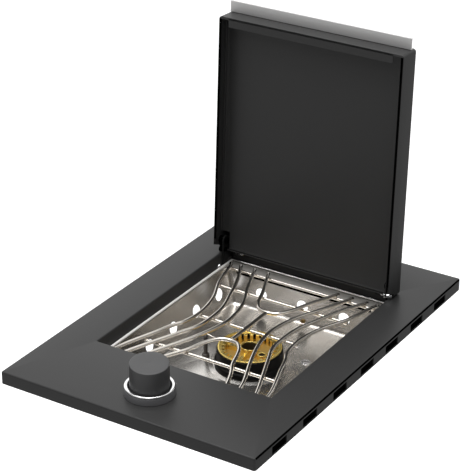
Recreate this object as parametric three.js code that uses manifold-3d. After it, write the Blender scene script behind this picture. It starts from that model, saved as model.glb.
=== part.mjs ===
// Built in side burner for the worktop of an outdoor kitchen: a trim panel that drops into the worktop, a
// pressed pan below it, a brass burner under a bowed wire grate, a push and turn gas tap, and a hinged lid.
// Millimetres, +Z up. Heights are measured from the panel's top face, y from its front edge and x from its
// centre line. At the end the whole group moves, so that its origin is the centre of the panel in the plane of
// the skirts' lower edges, which is the face of the worktop. The lid is drawn shut about its hinge pins and
// then turned open.
import * as THREE from 'three';
import { mergeVertices } from 'three/addons/utils/BufferGeometryUtils.js';
import Module from 'manifold-3d';

// Clearances shared by all pieces
const touchGap = 0.05;
const fitGap = 0.3;
const overrun = 6;
const leastRadius = 0.3;

// Trim panel
const panelWidth = 341;
const panelDepth = 487;
const panelSheet = 1.5;
const panelCorner = 3;
const panelFold = 2.2;
const skirtDrop = 15.5;
const sideBorder = 51.8;
const rearBorder = 76;
const openingHalfWidth = panelWidth / 2 - sideBorder;
const openingFront = 117;
const openingRear = panelDepth - rearBorder;
const openingCorner = 0.6;
const flangeDrop = 20;
const ventDrop = 4;
const ventLength = 30.5;
const ventCentreShares = [0.103, 0.237, 0.375, 0.506, 0.629, 0.758, 0.884];

// Side rails that rest on the worktop, close behind the slotted skirts
const railSheet = 1.5;
const railTop = 10;
const railFoot = 16;
const railEndGap = 8;

// Pan
const panSheet = 0.8;
const panRimHeight = 11;
const panSideLedge = 4.2;
const panFrontLedge = 21;
const panRearLedge = 21.2;
const panHalfWidth = openingHalfWidth - panSideLedge;
const panFront = openingFront + panFrontLedge;
const panRear = openingRear - panRearLedge;
const panCorner = 11;
const panLedgeFold = 1.2;
const panDepth = 48;
const panFloorFold = 8;
const panTaper = 10;
const panEndTaper = 0.8;
const platformRadius = 49;
const platformRise = 2;
const sideVentRadius = 8;
const sideVentDrop = 27.5;
const sideVentShares = [0.072, 0.278, 0.485, 0.691, 0.898];
const rearVentSpacing = 60.5;
const rearVentDrop = 24.8;
const slotDrop = 3;
const slotHeight = 3.2;
const slotEndWall = 16.5;
const baffleSheet = 1.2;
const baffleOverlap = 6;
const baffleDrop = 16.5;
const baffleStandoff = 7;

// The burner stands close to the middle of the opening
const burnerFromMiddle = 0.5;
const burnerY = (openingFront + openingRear) / 2 + burnerFromMiddle;

// Floor brace and its screws
const braceSheet = 1.5;
const braceDepth = 60;
const braceLip = 7;
const braceEnd = 9.4;
const floorScrewX = 54.6;
const floorScrewToBurner = 41.5;
const floorScrewY = burnerY + floorScrewToBurner;
const braceHalfWidth = floorScrewX + braceEnd;
const braceFront = floorScrewY - braceDepth / 3;
const braceRear = braceFront + braceDepth;
const screwRadius = 1.8;
const screwHeadRadius = 3.2;
const screwHeadHeight = 2.2;
const screwLength = 7;
const screwSlot = 0.9;
const floorScrewHeadRadius = 5;

// Burner
const burnerRadius = 39.2;
const burnerTop = -42;
const burnerRim = 3.2;
const headRimHeight = 1.8;
const toothCount = 26;
const toothDrop = 1.6;
const toothReach = 9.2;
const toothInner = burnerRadius - toothReach;
const toothGap = 3.4;
const toothGapWall = 4.8;
const toothGapEnd = burnerRadius - toothGapWall;
const channelDepth = 11;
const headSkin = 1.8;
const centreTubeRadius = 11.5;
const centreTubeWall = 1.6;
const centreTubeRise = 0.5;
const spokeCount = 4;
const spokeWidth = 4;
const spokeHeight = 6.5;
const spokeTurn = 0.08;
const bossReach = 20.5;
const bossTurn = -0.22;
const bossRadius = 6;
const bossHeight = 8;
const bossBore = 3.6;
const bowlOverhang = 1.4;
const bowlRadius = burnerRadius + bowlOverhang;
const bowlWall = 3.9;
const bowlFootRadius = 43.5;
const bowlFootHeight = 6;
const bowlFloor = 5;
const throatRadius = 9;
const throatWall = 1.8;
const throatDrop = 6;
const mixerRadius = 12.4;
const mixerWall = 1.2;
const mixerBend = 15;
const mixerFront = 178;
const shutterWall = 1.2;
const shutterLength = 17;
const shutterWindowWidth = 12;
const shutterWindowLength = 7;
const injectorRadius = 3.6;
const injectorHexRadius = 6.5;
const injectorHexLength = 6;
const injectorReach = 9;

// Igniter
const igniterX = -57.7;
const igniterToBurner = 9.5;
const igniterY = burnerY - igniterToBurner;
const igniterRadius = 2.5;
const igniterTop = -40.4;
const igniterBottom = -80;
const igniterCollarRadius = 4.6;
const igniterCollarHeight = 2.4;
const igniterClipHeight = 1;
const tipRadius = 0.8;
const tipRise = 2.6;
const tipReach = 14;
const tipDip = 1.6;

// Grate, welded from round wire
const wireRadius = 2.4;
const crossWireRadius = 2;
const grateSideGap = 11.7;
const grateFrontGap = 9;
const grateRearGap = 20;
const grateHalfWidth = openingHalfWidth - grateSideGap;
const grateFront = openingFront + grateFrontGap;
const grateRear = openingRear - grateRearGap;
const crossWireYShares = [0.0, 0.183, 0.506, 0.802, 0.983];
const crossWireHalfShares = [1.0, 0.85, 0.645, 0.87, 1.0];
const outerWireShares = [[1, 1], [0.972, 0.981], [0.867, 0.808], [0.712, 0.66], [0.651, 0.543],
  [0.646, 0.468], [0.68, 0.385], [0.738, 0.336], [0.813, 0.241], [0.962, 0.061], [0.985, -0.011]];
const middleWireShares = [[0.858, 1], [0.701, 0.864], [0.575, 0.713], [0.491, 0.6], [0.469, 0.475],
  [0.488, 0.389], [0.565, 0.309], [0.841, 0.026], [0.866, -0.011]];
const innerWireShares = [[0.666, 1], [0.486, 0.814], [0.336, 0.676], [0.273, 0.547], [0.285, 0.446],
  [0.344, 0.347], [0.436, 0.241], [0.607, 0.071], [0.664, -0.011]];
const rearLoopShares = [[0.479, 1], [0.311, 0.845], [0.19, 0.72], [0.112, 0.68], [0, 0.668]];
const frontLoopShares = [[0.505, -0.011], [0.443, 0.06], [0.386, 0.114], [0.3, 0.18], [0.235, 0.262],
  [0.192, 0.304], [0.148, 0.332], [0.098, 0.351], [0, 0.36]];

// Gas tap, knob and bezel
const tapY = 52.4;
const knobRadius = 23.1;
const knobTopRadius = 22.5;
const knobWall = 2.4;
const knobRim = 36.4;
const knobDome = 3.6;
const knobBottom = 6;
const knobHollow = 30;
const knobBossRadius = 8;
const knobBossBottom = 9;
const knobEdge = 1.2;
const pushTravel = 3.5;
const bezelHeight = 8;
const bezelFootRadius = 28;
const bezelTopRadius = 28.6;
const bezelBore = 25.1;
const bezelFloor = 1.5;
const bezelRingRadius = 29;
const bezelRingHeight = 3;
const bezelRingRound = 1.1;
const stemRadius = 3;
const stemFlat = 2;
const stemTop = 25.6;
const stemCollarTop = -8;
const stemCollarHeight = 2;
const stemCollarRadius = 4.4;
const stemTailRadius = 2.2;
const stemBottom = -20;
const washerThickness = 1.2;
const tapBore = 5.3;
const tapNeckRadius = 7.4;
const tapFlangeThickness = 3;
const tapFlangeLength = 44;
const tapFlangeWidth = 19;
const tapBodyRadius = 12.6;
const tapBodyTop = -10;
const tapBodyBottom = -35;
const tapBoreBottom = -29;
const tapPortHeight = -24;
const tapPortRadius = 5.6;
const tapPortReach = 20;
const springRadius = 3.9;
const springWire = 0.45;
const springTurns = 6;
const portNutRadius = 7;
const portNutLength = 9;
const supplyRadius = 3.2;
const supplyShares = [[0, 0], [0.07, 0], [0.14, 0.01], [0.36, 0.2], [0.72, 0.82], [0.88, 0.99], [0.94, 1], [1, 1]];

// Gas inlet along the right side
const inletOffset = 12.3;
const inletX = openingHalfWidth + inletOffset;
const inletRadius = 4.8;
const inletBend = 15;
const inletRearGap = 51;
const inletRear = panelDepth - inletRearGap;
const nippleRadius = 8;
const nippleHexRadius = 11;
const nippleHexLength = 9;
const nippleLength = 17;
const nippleBore = 4;
const clipSheet = 1.2;
const clipWidth = 12;
const clipY = 300;

// Ignition module and lead
const moduleX = -44;
const moduleWidth = 34;
const moduleFront = 72;
const moduleRear = 104;
const moduleHeight = 22;
const moduleCorner = 4;
const leadRadius = 1.5;
const leadDepth = 76;
const leadShares = [[0, 0, 0], [0, 0.02, 0], [0, 0.035, 0.06], [0, 0.04, 0.25], [0.02, 0.06, 0.6],
  [0.06, 0.12, 0.92], [0.2, 0.25, 1], [0.55, 0.6, 1], [0.94, 0.9, 1], [1, 0.985, 1.06]];

// Hinges
const pivotGap = 17;
const pivotY = openingRear - pivotGap;
const pivotZ = 15.5;
const pivotRadius = 3;
const bracketSheet = 2;
const bracketGap = 0.4;
const bracketInner = openingHalfWidth - bracketSheet - bracketGap;
const bracketEye = 6.5;
const bracketBottom = -16;
const footLength = 24.3;
const footInner = bracketInner - footLength;
const footBottom = -10;
const footTop = -0.6;
const footScrewInset = 10;
const footScrewX = footInner + footScrewInset;
const footScrewZ = -6;
const footScrewHeadRadius = 2.9;
const stopGap = 3;
const stopY = pivotY - stopGap;
const stopZ = 3.8;
const stopHeadRadius = 3.45;
const stopHeadOverhang = 5.8;
const stopHeadReach = openingHalfWidth + stopHeadOverhang;
const stopShankRadius = 2.6;
const stopTail = 1.6;
const studShoulder = 5;
const studRivetHeight = 1.8;
const studReach = bracketInner - fitGap - studRivetHeight;
const studRivetRadius = 4.4;
const flangeScrewGap = 31;
const flangeScrewY = openingRear - flangeScrewGap;
const flangeScrewZ = -16;

// Lid, drawn shut: sizes along y and z are measured from the hinge pins
const lidOpenAngle = 92.8;
const lidOverhang = 7.2;
const lidHalfWidth = openingHalfWidth + lidOverhang;
const lidFront = -300.8;
const lidRear = 14.4;
const lidLip = -15;
const lidHeight = 33.2;
const lidSheet = 1;
const lidFold = 3;
const lidCorner = 4;
const hemWidth = 3.1;
const hemEnd = -9.5;
const bandEndGap = 13.9;
const bandHalfLength = lidHalfWidth - bandEndGap;
const bandHeight = 12;
const rearWallEndGap = 10.9;
const rearWallHalfLength = lidHalfWidth - rearWallEndGap;
const rearWallBottom = 2;
const rearSlotInset = 4.4;
const rearSlotEnd = lidHalfWidth - rearSlotInset;
const cornerCut = [[2.5, -15], [8.5, -0.5], [14.4, 1]];
const linerRecess = 18.6;
const linerSheet = 1;
const linerFlange = 4.5;
const linerRear = 7.5;
const linerNotch = -10.8;
const stripEndGap = 2.5;
const stripHalfLength = lidHalfWidth - stripEndGap;
const stripRecess = 22;
const stripReach = 14.7;
const stripThickness = 2.2;
const stripFoot = 4.4;

const quarterTurn = Math.PI / 2;
const fullTurn = Math.PI * 2;
const wasm = await Module();
wasm.setup();

// Looks of the materials
const blackPaint = { color: 0x303032, roughness: 0.42, metalness: 0.3 };
const greyPaint = { color: 0x47474a, roughness: 0.4, metalness: 0.35 };
const brushedSteel = { color: 0xa9a49c, roughness: 0.3, metalness: 1 };
const steelWire = { color: 0xc9c8c5, roughness: 0.22, metalness: 1 };
const zincSteel = { color: 0xb8bbc0, roughness: 0.38, metalness: 1 };
const polishedChrome = { color: 0xe2e4e6, roughness: 0.08, metalness: 1 };
const castIron = { color: 0x26262a, roughness: 0.6, metalness: 0.5 };
const burnerBrass = { color: 0xc9a23c, roughness: 0.34, metalness: 1 };
const tapBrass = { color: 0xb08d3e, roughness: 0.4, metalness: 1 };
const blackPlastic = { color: 0x1d1d20, roughness: 0.35, metalness: 0 };
const ceramic = { color: 0x4b4238, roughness: 0.55, metalness: 0 };

function faceOutward(geometry) {
  const place = geometry.attributes.position;
  const index = geometry.index.array;
  const corners = [new THREE.Vector3(), new THREE.Vector3(), new THREE.Vector3()];
  let volume = 0;
  for (let start = 0; start < index.length; start += 3) {
    corners.forEach((corner, turn) => corner.fromBufferAttribute(place, index[start + turn]));
    volume += corners[0].dot(corners[1].clone().cross(corners[2]));
  }
  if (volume < 0) {
    for (let start = 0; start < index.length; start += 3) {
      [index[start], index[start + 1]] = [index[start + 1], index[start]];
    }
  }
  geometry.computeVertexNormals();
  return geometry;
}

// Skin over a list of rings with equal counts of points: capped at both ends, or closed into a loop
function loft(rings, closed) {
  const count = rings[0].length;
  const positions = rings.flat().flatMap((point) => point.toArray());
  const index = [];
  const spans = closed ? rings.length : rings.length - 1;
  for (let span = 0; span < spans; span += 1) {
    const near = span * count;
    const far = ((span + 1) % rings.length) * count;
    for (let point = 0; point < count; point += 1) {
      const next = (point + 1) % count;
      index.push(near + point, near + next, far + next, near + point, far + next, far + point);
    }
  }
  if (!closed) {
    const ends = [[0, true], [rings.length - 1, false]];
    ends.forEach(([end, reverse]) => {
      const centre = new THREE.Vector3();
      rings[end].forEach((point) => centre.add(point));
      centre.divideScalar(count);
      const hub = positions.length / 3;
      positions.push(...centre.toArray());
      for (let point = 0; point < count; point += 1) {
        const here = end * count + point;
        const next = end * count + ((point + 1) % count);
        index.push(hub, reverse ? next : here, reverse ? here : next);
      }
    });
  }
  const geometry = new THREE.BufferGeometry();
  geometry.setAttribute('position', new THREE.Float32BufferAttribute(positions, 3));
  geometry.setIndex(index);
  return faceOutward(geometry);
}

// Points round a rectangle with rounded corners, drawn in by an inset
function rectangleRing(frame, inset, height, steps = 3) {
  const radius = Math.max(frame.radius - inset, leastRadius);
  const side = frame.halfWidth - inset - radius;
  const rear = frame.rear - inset - radius;
  const front = frame.front + inset + radius;
  const centres = [[side, rear], [-side, rear], [-side, front], [side, front]];
  return centres.flatMap(([x, y], corner) => Array.from({ length: steps + 1 }, (_, step) => {
    const angle = (corner + step / steps) * quarterTurn;
    return new THREE.Vector3(x + radius * Math.cos(angle), y + radius * Math.sin(angle), height);
  }));
}

function discFrame(radius, y) {
  return { halfWidth: radius, front: y - radius, rear: y + radius, radius: radius - leastRadius };
}

// Solid or tube turned about the z axis from pairs of radius and height
function turned(profile, sides, closed = false) {
  const rings = profile.map(([radius, height]) => Array.from({ length: sides }, (_, side) => {
    const angle = (side / sides) * fullTurn;
    return new THREE.Vector3(radius * Math.cos(angle), radius * Math.sin(angle), height);
  }));
  return loft(rings, closed);
}

const alongX = (geometry) => geometry.rotateY(quarterTurn);
const alongY = (geometry) => geometry.rotateX(-quarterTurn);
const moved = (geometry, x, y, z) => geometry.translate(x, y, z);

function block(xs, ys, zs) {
  const sizes = [xs, ys, zs].map(([low, high]) => high - low);
  const middles = [xs, ys, zs].map(([low, high]) => (low + high) / 2);
  return moved(new THREE.BoxGeometry(...sizes), ...middles);
}

function outline(points) {
  return new THREE.Shape(points.map(([across, up]) => new THREE.Vector2(across, up)));
}

// A section of x and z pairs, drawn out along y
function drawnAlongY(points, front, rear) {
  const geometry = new THREE.ExtrudeGeometry(outline(points), { depth: rear - front, bevelEnabled: false });
  return moved(geometry.rotateX(quarterTurn), 0, rear, 0);
}

// A section of y and z pairs, drawn out along x
function drawnAlongX(points, left, right) {
  const geometry = new THREE.ExtrudeGeometry(outline(points), { depth: right - left, bevelEnabled: false });
  return moved(geometry.rotateX(quarterTurn).rotateZ(quarterTurn), left, 0, 0);
}

function polygon(radius, sides, turn = 0) {
  return Array.from({ length: sides }, (_, side) => {
    const angle = (side / sides) * fullTurn + turn;
    return [radius * Math.cos(angle), radius * Math.sin(angle)];
  });
}

function tube(points, radius, steps, sides) {
  const curve = new THREE.CatmullRomCurve3(points, false, 'centripetal');
  return new THREE.ExtrudeGeometry(outline(polygon(radius, sides)), { steps, extrudePath: curve, bevelEnabled: false });
}

function rod(start, end, radius, sides = 12) {
  const way = end.clone().sub(start);
  const geometry = new THREE.CylinderGeometry(radius, radius, way.length(), sides);
  geometry.applyQuaternion(new THREE.Quaternion().setFromUnitVectors(new THREE.Vector3(0, 1, 0), way.normalize()));
  const middle = start.clone().add(end).divideScalar(2);
  return moved(geometry, middle.x, middle.y, middle.z);
}

function solid(geometry) {
  const bare = geometry.clone();
  bare.deleteAttribute('normal');
  bare.deleteAttribute('uv');
  const merged = mergeVertices(bare);
  const vertProperties = new Float32Array(merged.attributes.position.array);
  const triVerts = new Uint32Array(merged.index.array);
  return new wasm.Manifold(new wasm.Mesh({ numProp: 3, vertProperties, triVerts }));
}

function skin(body) {
  const mesh = body.getMesh();
  const geometry = new THREE.BufferGeometry();
  geometry.setAttribute('position', new THREE.BufferAttribute(mesh.vertProperties, 3));
  geometry.setIndex(new THREE.BufferAttribute(mesh.triVerts, 1));
  geometry.computeVertexNormals();
  return geometry;
}

function shaped(base, added, cuts) {
  let body = solid(base);
  added.forEach((extra) => { body = body.add(solid(extra)); });
  cuts.forEach((cut) => { body = body.subtract(solid(cut)); });
  return skin(body);
}

function mirrored(geometry) {
  const copy = mergeVertices(geometry.clone().deleteAttribute('normal').deleteAttribute('uv'));
  return faceOutward(copy.scale(-1, 1, 1));
}

function add(parent, name, geometry, look) {
  const mesh = new THREE.Mesh(geometry, new THREE.MeshStandardMaterial(look));
  mesh.name = name;
  parent.add(mesh);
}

function addPair(parent, name, rightGeometry, look) {
  add(parent, `${name}_right`, rightGeometry, look);
  add(parent, `${name}_left`, mirrored(rightGeometry), look);
}

const burner = new THREE.Group();
const opening = { halfWidth: openingHalfWidth, front: openingFront, rear: openingRear, radius: openingCorner };
const panelEdge = { halfWidth: panelWidth / 2, front: 0, rear: panelDepth, radius: panelCorner };
const foldShares = [0, 0.33, 0.67, 1];

// A quarter fold from a wall that stands up to a face that lies flat, as pairs of inset and height
function fold(radius, top) {
  return foldShares.map((share) => {
    const angle = share * quarterTurn;
    return [radius * (1 - Math.cos(angle)), top - radius * (1 - Math.sin(angle))];
  });
}

function trimPanel() {
  const rings = [rectangleRing(panelEdge, 0, -skirtDrop)];
  fold(panelFold, 0).forEach(([inset, height]) => rings.push(rectangleRing(panelEdge, inset, height)));
  fold(panelFold, 0).reverse().forEach(([inset, height]) => rings.push(rectangleRing(opening, -inset, height)));
  rings.push(rectangleRing(opening, 0, -flangeDrop));
  rings.push(rectangleRing(opening, -panelSheet, -flangeDrop));
  rings.push(rectangleRing(opening, -panelSheet, -panelSheet));
  rings.push(rectangleRing(panelEdge, panelSheet, -panelSheet));
  rings.push(rectangleRing(panelEdge, panelSheet, -skirtDrop));
  const cuts = [moved(turned([[tapNeckRadius + fitGap, -overrun], [tapNeckRadius + fitGap, overrun]], 32), 0, tapY, 0)];
  const inner = panelWidth / 2 - panelSheet - fitGap;
  ventCentreShares.forEach((share) => {
    const middle = share * panelDepth;
    const ys = [middle - ventLength / 2, middle + ventLength / 2];
    const zs = [-skirtDrop - overrun, -ventDrop];
    cuts.push(block([inner, inner + overrun], ys, zs));
    cuts.push(block([-inner - overrun, -inner], ys, zs));
  });
  [1, -1].forEach((side) => {
    const wall = side * openingHalfWidth;
    const shank = alongX(turned([[screwRadius + fitGap, -overrun], [screwRadius + fitGap, overrun]], 10));
    cuts.push(moved(shank, wall, flangeScrewY, flangeScrewZ));
    const footHole = alongY(turned([[screwRadius + fitGap, -overrun], [screwRadius + fitGap, overrun]], 10));
    cuts.push(moved(footHole, side * footScrewX, openingRear, footScrewZ));
  });
  return shaped(loft(rings, true), [], cuts);
}

function sideRail() {
  const outer = panelWidth / 2 - panelSheet - touchGap;
  const web = outer - railSheet;
  const top = -panelSheet - touchGap;
  const points = [[outer, top], [outer, -skirtDrop], [outer - railFoot, -skirtDrop],
    [outer - railFoot, -skirtDrop + railSheet], [web, -skirtDrop + railSheet], [web, top - railSheet],
    [outer - railTop, top - railSheet], [outer - railTop, top]];
  return drawnAlongY(points, railEndGap, panelDepth - railEndGap);
}

// Heights of the pan, and its slot's half length
const ledgeTop = -flangeDrop - touchGap;
const floorTop = ledgeTop - panDepth;
const platformTop = floorTop + platformRise;
const slotHalfLength = panHalfWidth - slotEndWall;
const throatHole = throatRadius + throatWall + mixerWall + fitGap * 2;

function pan() {
  const rimGrow = panelSheet + touchGap;
  const wall = { halfWidth: panHalfWidth, front: panFront, rear: panRear, radius: panCorner };
  const low = { halfWidth: panHalfWidth - panTaper, front: panFront + panEndTaper, rear: panRear - panEndTaper,
    radius: panCorner };
  const platform = discFrame(platformRadius, burnerY);
  const hole = discFrame(throatHole, burnerY);
  const under = panSheet;
  const rings = [rectangleRing(opening, -rimGrow, ledgeTop + panRimHeight), rectangleRing(opening, -rimGrow, ledgeTop)];
  fold(panLedgeFold, ledgeTop).reverse().forEach(([inset, height]) => rings.push(rectangleRing(wall, -inset, height)));
  fold(panFloorFold, 0).forEach(([inset, height]) => {
    rings.push(rectangleRing(low, inset, floorTop - height));
  });
  rings.push(rectangleRing(platform, 0, floorTop));
  rings.push(rectangleRing(platform, platformRise, platformTop));
  rings.push(rectangleRing(hole, 0, platformTop));
  rings.push(rectangleRing(hole, 0, platformTop - under));
  rings.push(rectangleRing(platform, platformRise + under / 2, platformTop - under));
  rings.push(rectangleRing(platform, under / 2, floorTop - under));
  fold(panFloorFold + under, 0).reverse().forEach(([inset, height]) => {
    rings.push(rectangleRing(low, inset - under, floorTop - under - height));
  });
  rings.push(rectangleRing(wall, -under, ledgeTop - panLedgeFold));
  rings.push(rectangleRing(wall, -panLedgeFold, ledgeTop - under));
  rings.push(rectangleRing(opening, -rimGrow - under, ledgeTop - under));
  rings.push(rectangleRing(opening, -rimGrow - under, ledgeTop + panRimHeight));
  const cuts = [];
  const ventHeight = ledgeTop - sideVentDrop;
  const ventLine = [[sideVentRadius, -panHalfWidth - overrun], [sideVentRadius, panHalfWidth + overrun]];
  sideVentShares.forEach((share) => {
    cuts.push(moved(alongX(turned(ventLine, 14)), 0, panFront + share * (panRear - panFront), ventHeight));
  });
  [-rearVentSpacing, 0, rearVentSpacing].forEach((x) => {
    const bore = alongY(turned([[sideVentRadius, -overrun], [sideVentRadius, overrun]], 14));
    cuts.push(moved(bore, x, panRear, ledgeTop - rearVentDrop));
  });
  cuts.push(block([-slotHalfLength, slotHalfLength], [panRear - overrun, panRear + overrun],
    [ledgeTop - slotDrop - slotHeight, ledgeTop - slotDrop]));
  [1, -1].forEach((side) => {
    const line = [[screwRadius + fitGap, -overrun], [screwRadius + fitGap, overrun]];
    cuts.push(moved(alongX(turned(line, 10)), side * openingHalfWidth, flangeScrewY, flangeScrewZ));
    cuts.push(moved(turned(line, 10), side * floorScrewX, floorScrewY, floorTop));
  });
  const igniterHole = igniterRadius + fitGap;
  cuts.push(moved(turned([[igniterHole, -overrun], [igniterHole, overrun]], 16), igniterX, igniterY, floorTop));
  return shaped(loft(rings, true), [], cuts);
}

function slotBaffle() {
  const top = ledgeTop - panSheet - touchGap;
  const front = panRear + baffleStandoff;
  const rear = openingRear - touchGap;
  const points = [[front, top], [rear, top], [rear, top - baffleSheet], [front + baffleSheet, top - baffleSheet],
    [front + baffleSheet, top - baffleDrop], [front, top - baffleDrop]];
  return drawnAlongX(points, -slotHalfLength - baffleOverlap, slotHalfLength + baffleOverlap);
}

function floorBrace() {
  const top = floorTop - panSheet - touchGap;
  const low = top - braceLip;
  const points = [[braceFront, low], [braceFront, top], [braceRear, top], [braceRear, low],
    [braceRear - braceSheet, low], [braceRear - braceSheet, top - braceSheet],
    [braceFront + braceSheet, top - braceSheet], [braceFront + braceSheet, low]];
  const line = [[screwRadius + fitGap, -overrun], [screwRadius + fitGap, overrun]];
  const holes = [1, -1].map((side) => moved(turned(line, 10), side * floorScrewX, floorScrewY, top));
  return shaped(drawnAlongX(points, -braceHalfWidth, braceHalfWidth), [], holes);
}

// A slotted screw whose head's seat is at zero and whose shank goes down
function slottedScrew(headRadius, headHeight, shankRadius, length) {
  const round = headHeight / 4;
  const profile = [[shankRadius, -length], [shankRadius, 0], [headRadius, 0], [headRadius, headHeight - round],
    [headRadius - round, headHeight]];
  const slot = block([-headRadius - overrun, headRadius + overrun], [-screwSlot / 2, screwSlot / 2],
    [headHeight - screwSlot, headHeight + overrun]);
  return shaped(turned(profile, 10), [], [slot]);
}

const bowlTop = burnerTop - headRimHeight - touchGap;
const bowlBottom = platformTop + touchGap;
const throatBottom = bowlBottom - throatDrop;

function burnerBowl() {
  const inner = bowlRadius - bowlWall;
  const footTop2 = bowlBottom + bowlFootHeight;
  const profile = [[inner, bowlTop], [bowlRadius, bowlTop], [bowlRadius, footTop2 + bowlFootHeight / 4],
    [bowlFootRadius, footTop2], [bowlFootRadius, bowlBottom], [throatRadius + throatWall, bowlBottom],
    [throatRadius + throatWall, throatBottom], [throatRadius, throatBottom], [throatRadius, bowlBottom + bowlFloor],
    [inner - bowlFloor, bowlBottom + bowlFloor], [inner, bowlBottom + bowlFloor * 2]];
  return moved(turned(profile, 28, true), 0, burnerY, 0);
}

function burnerHead() {
  const rimInner = burnerRadius - burnerRim;
  const toothTop = burnerTop - toothDrop;
  const channel = burnerTop - channelDepth;
  const under = channel - headSkin;
  const seat = burnerTop - headRimHeight;
  const spigot = bowlRadius - bowlWall - fitGap;
  const tubeTop = burnerTop + centreTubeRise;
  const tubeInner = centreTubeRadius - centreTubeWall;
  const round = burnerRim / 4;
  const profile = [[leastRadius, channel], [tubeInner, channel], [tubeInner, tubeTop], [centreTubeRadius, tubeTop],
    [centreTubeRadius, channel], [toothInner, channel], [toothInner, toothTop], [rimInner, toothTop],
    [rimInner, burnerTop - round], [rimInner + round, burnerTop], [burnerRadius - round, burnerTop],
    [burnerRadius, burnerTop - round], [burnerRadius, seat], [spigot, seat], [spigot, under], [leastRadius, under]];
  const spokes = Array.from({ length: spokeCount }, (_, spoke) => block(
    [centreTubeRadius - centreTubeWall / 2, toothInner + headSkin], [-spokeWidth / 2, spokeWidth / 2],
    [channel - headSkin / 2, channel + spokeHeight]).rotateZ(spokeTurn + (spoke / spokeCount) * fullTurn));
  const boss = turned([[bossRadius, channel - headSkin / 2], [bossRadius, channel + bossHeight]], 14);
  const bore = turned([[bossBore, under - overrun], [bossBore, burnerTop]], 14);
  const bossX = bossReach * Math.cos(bossTurn);
  const bossY = bossReach * Math.sin(bossTurn);
  const gaps = Array.from({ length: toothCount }, (_, tooth) => block([toothInner - overrun, toothGapEnd],
    [-toothGap / 2, toothGap / 2], [channel + round, burnerTop + overrun]).rotateZ((tooth / toothCount) * fullTurn));
  const ring = shaped(turned(profile, 32), [], gaps);
  return moved(shaped(ring, [...spokes, moved(boss, bossX, bossY, 0)], [moved(bore, bossX, bossY, 0)]), 0, burnerY, 0);
}

// Mixing tube: straight down from the throat, a bend, then straight to the front
const mixerTop = platformTop - panSheet - fitGap;
const mixerHeight = mixerTop - throatDrop - mixerBend;
const bendStepCount = 6;

function bendPoints(start, middle, end, bend) {
  const into = middle.clone().sub(start).normalize();
  const out = end.clone().sub(middle).normalize();
  const first = middle.clone().sub(into.clone().multiplyScalar(bend));
  const points = Array.from({ length: bendStepCount + 1 }, (_, step) => {
    const angle = (step / bendStepCount) * quarterTurn;
    return first.clone().add(into.clone().multiplyScalar(bend * Math.sin(angle)))
      .add(out.clone().multiplyScalar(bend * (1 - Math.cos(angle))));
  });
  return points;
}

// Rings of a round section carried along points that lie in one plane, square to the direction given as across
function swept(points, across, radius, sides) {
  return points.map((point, place) => {
    const before = points[Math.max(place - 1, 0)];
    const after = points[Math.min(place + 1, points.length - 1)];
    const up = after.clone().sub(before).normalize().cross(across).normalize();
    return Array.from({ length: sides }, (_, side) => {
      const angle = (side / sides) * fullTurn;
      return point.clone().add(across.clone().multiplyScalar(radius * Math.cos(angle)))
        .add(up.clone().multiplyScalar(radius * Math.sin(angle)));
    });
  });
}

function mixingTube() {
  const corner = new THREE.Vector3(0, burnerY, mixerHeight);
  const end = new THREE.Vector3(0, mixerFront, mixerHeight);
  const points = [...bendPoints(new THREE.Vector3(0, burnerY, mixerTop), corner, end, mixerBend), end];
  const across = new THREE.Vector3(1, 0, 0);
  const outer = swept(points, across, mixerRadius, 14);
  const inner = swept(points, across, mixerRadius - mixerWall, 14).reverse();
  return loft([...outer, ...inner], true);
}

function airShutter() {
  const inner = mixerRadius + fitGap;
  const outer = inner + shutterWall;
  const hole = injectorRadius + fitGap;
  const front = -shutterLength / 2;
  const rear = shutterLength / 2;
  const profile = [[hole, front], [outer, front], [outer, rear], [inner, rear], [inner, front + shutterWall],
    [hole, front + shutterWall]];
  const middle = front + shutterWall + shutterWindowLength / 2 + fitGap;
  const windowZs = [middle - shutterWindowLength / 2, middle + shutterWindowLength / 2];
  const windows = [1, -1].map((side) => block([side > 0 ? inner - overrun : -outer - overrun,
    side > 0 ? outer + overrun : overrun - inner], [-shutterWindowWidth / 2, shutterWindowWidth / 2], windowZs));
  const cup = shaped(turned(profile, 24, true), [], windows);
  return moved(alongY(cup), 0, mixerFront, mixerHeight);
}

const injectorFront = mixerFront - shutterLength / 2 - touchGap - injectorHexLength;

function injector() {
  const hexEnd = injectorHexLength;
  const nose = injectorRadius * 0.6;
  const hex = turned([[injectorHexRadius, 0], [injectorHexRadius, hexEnd]], 6);
  const jet = turned([[injectorRadius, hexEnd / 2], [injectorRadius, hexEnd + injectorReach - nose],
    [nose, hexEnd + injectorReach]], 16);
  return moved(alongY(shaped(hex, [jet], [])), 0, injectorFront, mixerHeight);
}

const portNutStart = tapPortReach + touchGap;

function supplyTube() {
  const start = tapY + portNutStart + portNutLength / 2;
  const end = injectorFront - touchGap;
  const points = supplyShares.map(([along, down]) => new THREE.Vector3(0, start + along * (end - start),
    tapPortHeight + down * (mixerHeight - tapPortHeight)));
  return tube(points, supplyRadius, 18, 8);
}

function portNut(pipeRadius) {
  const bore = pipeRadius + fitGap;
  const hex = turned([[portNutRadius, 0], [portNutRadius, portNutLength]], 6);
  return shaped(hex, [], [turned([[bore, -overrun], [bore, portNutLength + overrun]], 16)]);
}

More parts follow.
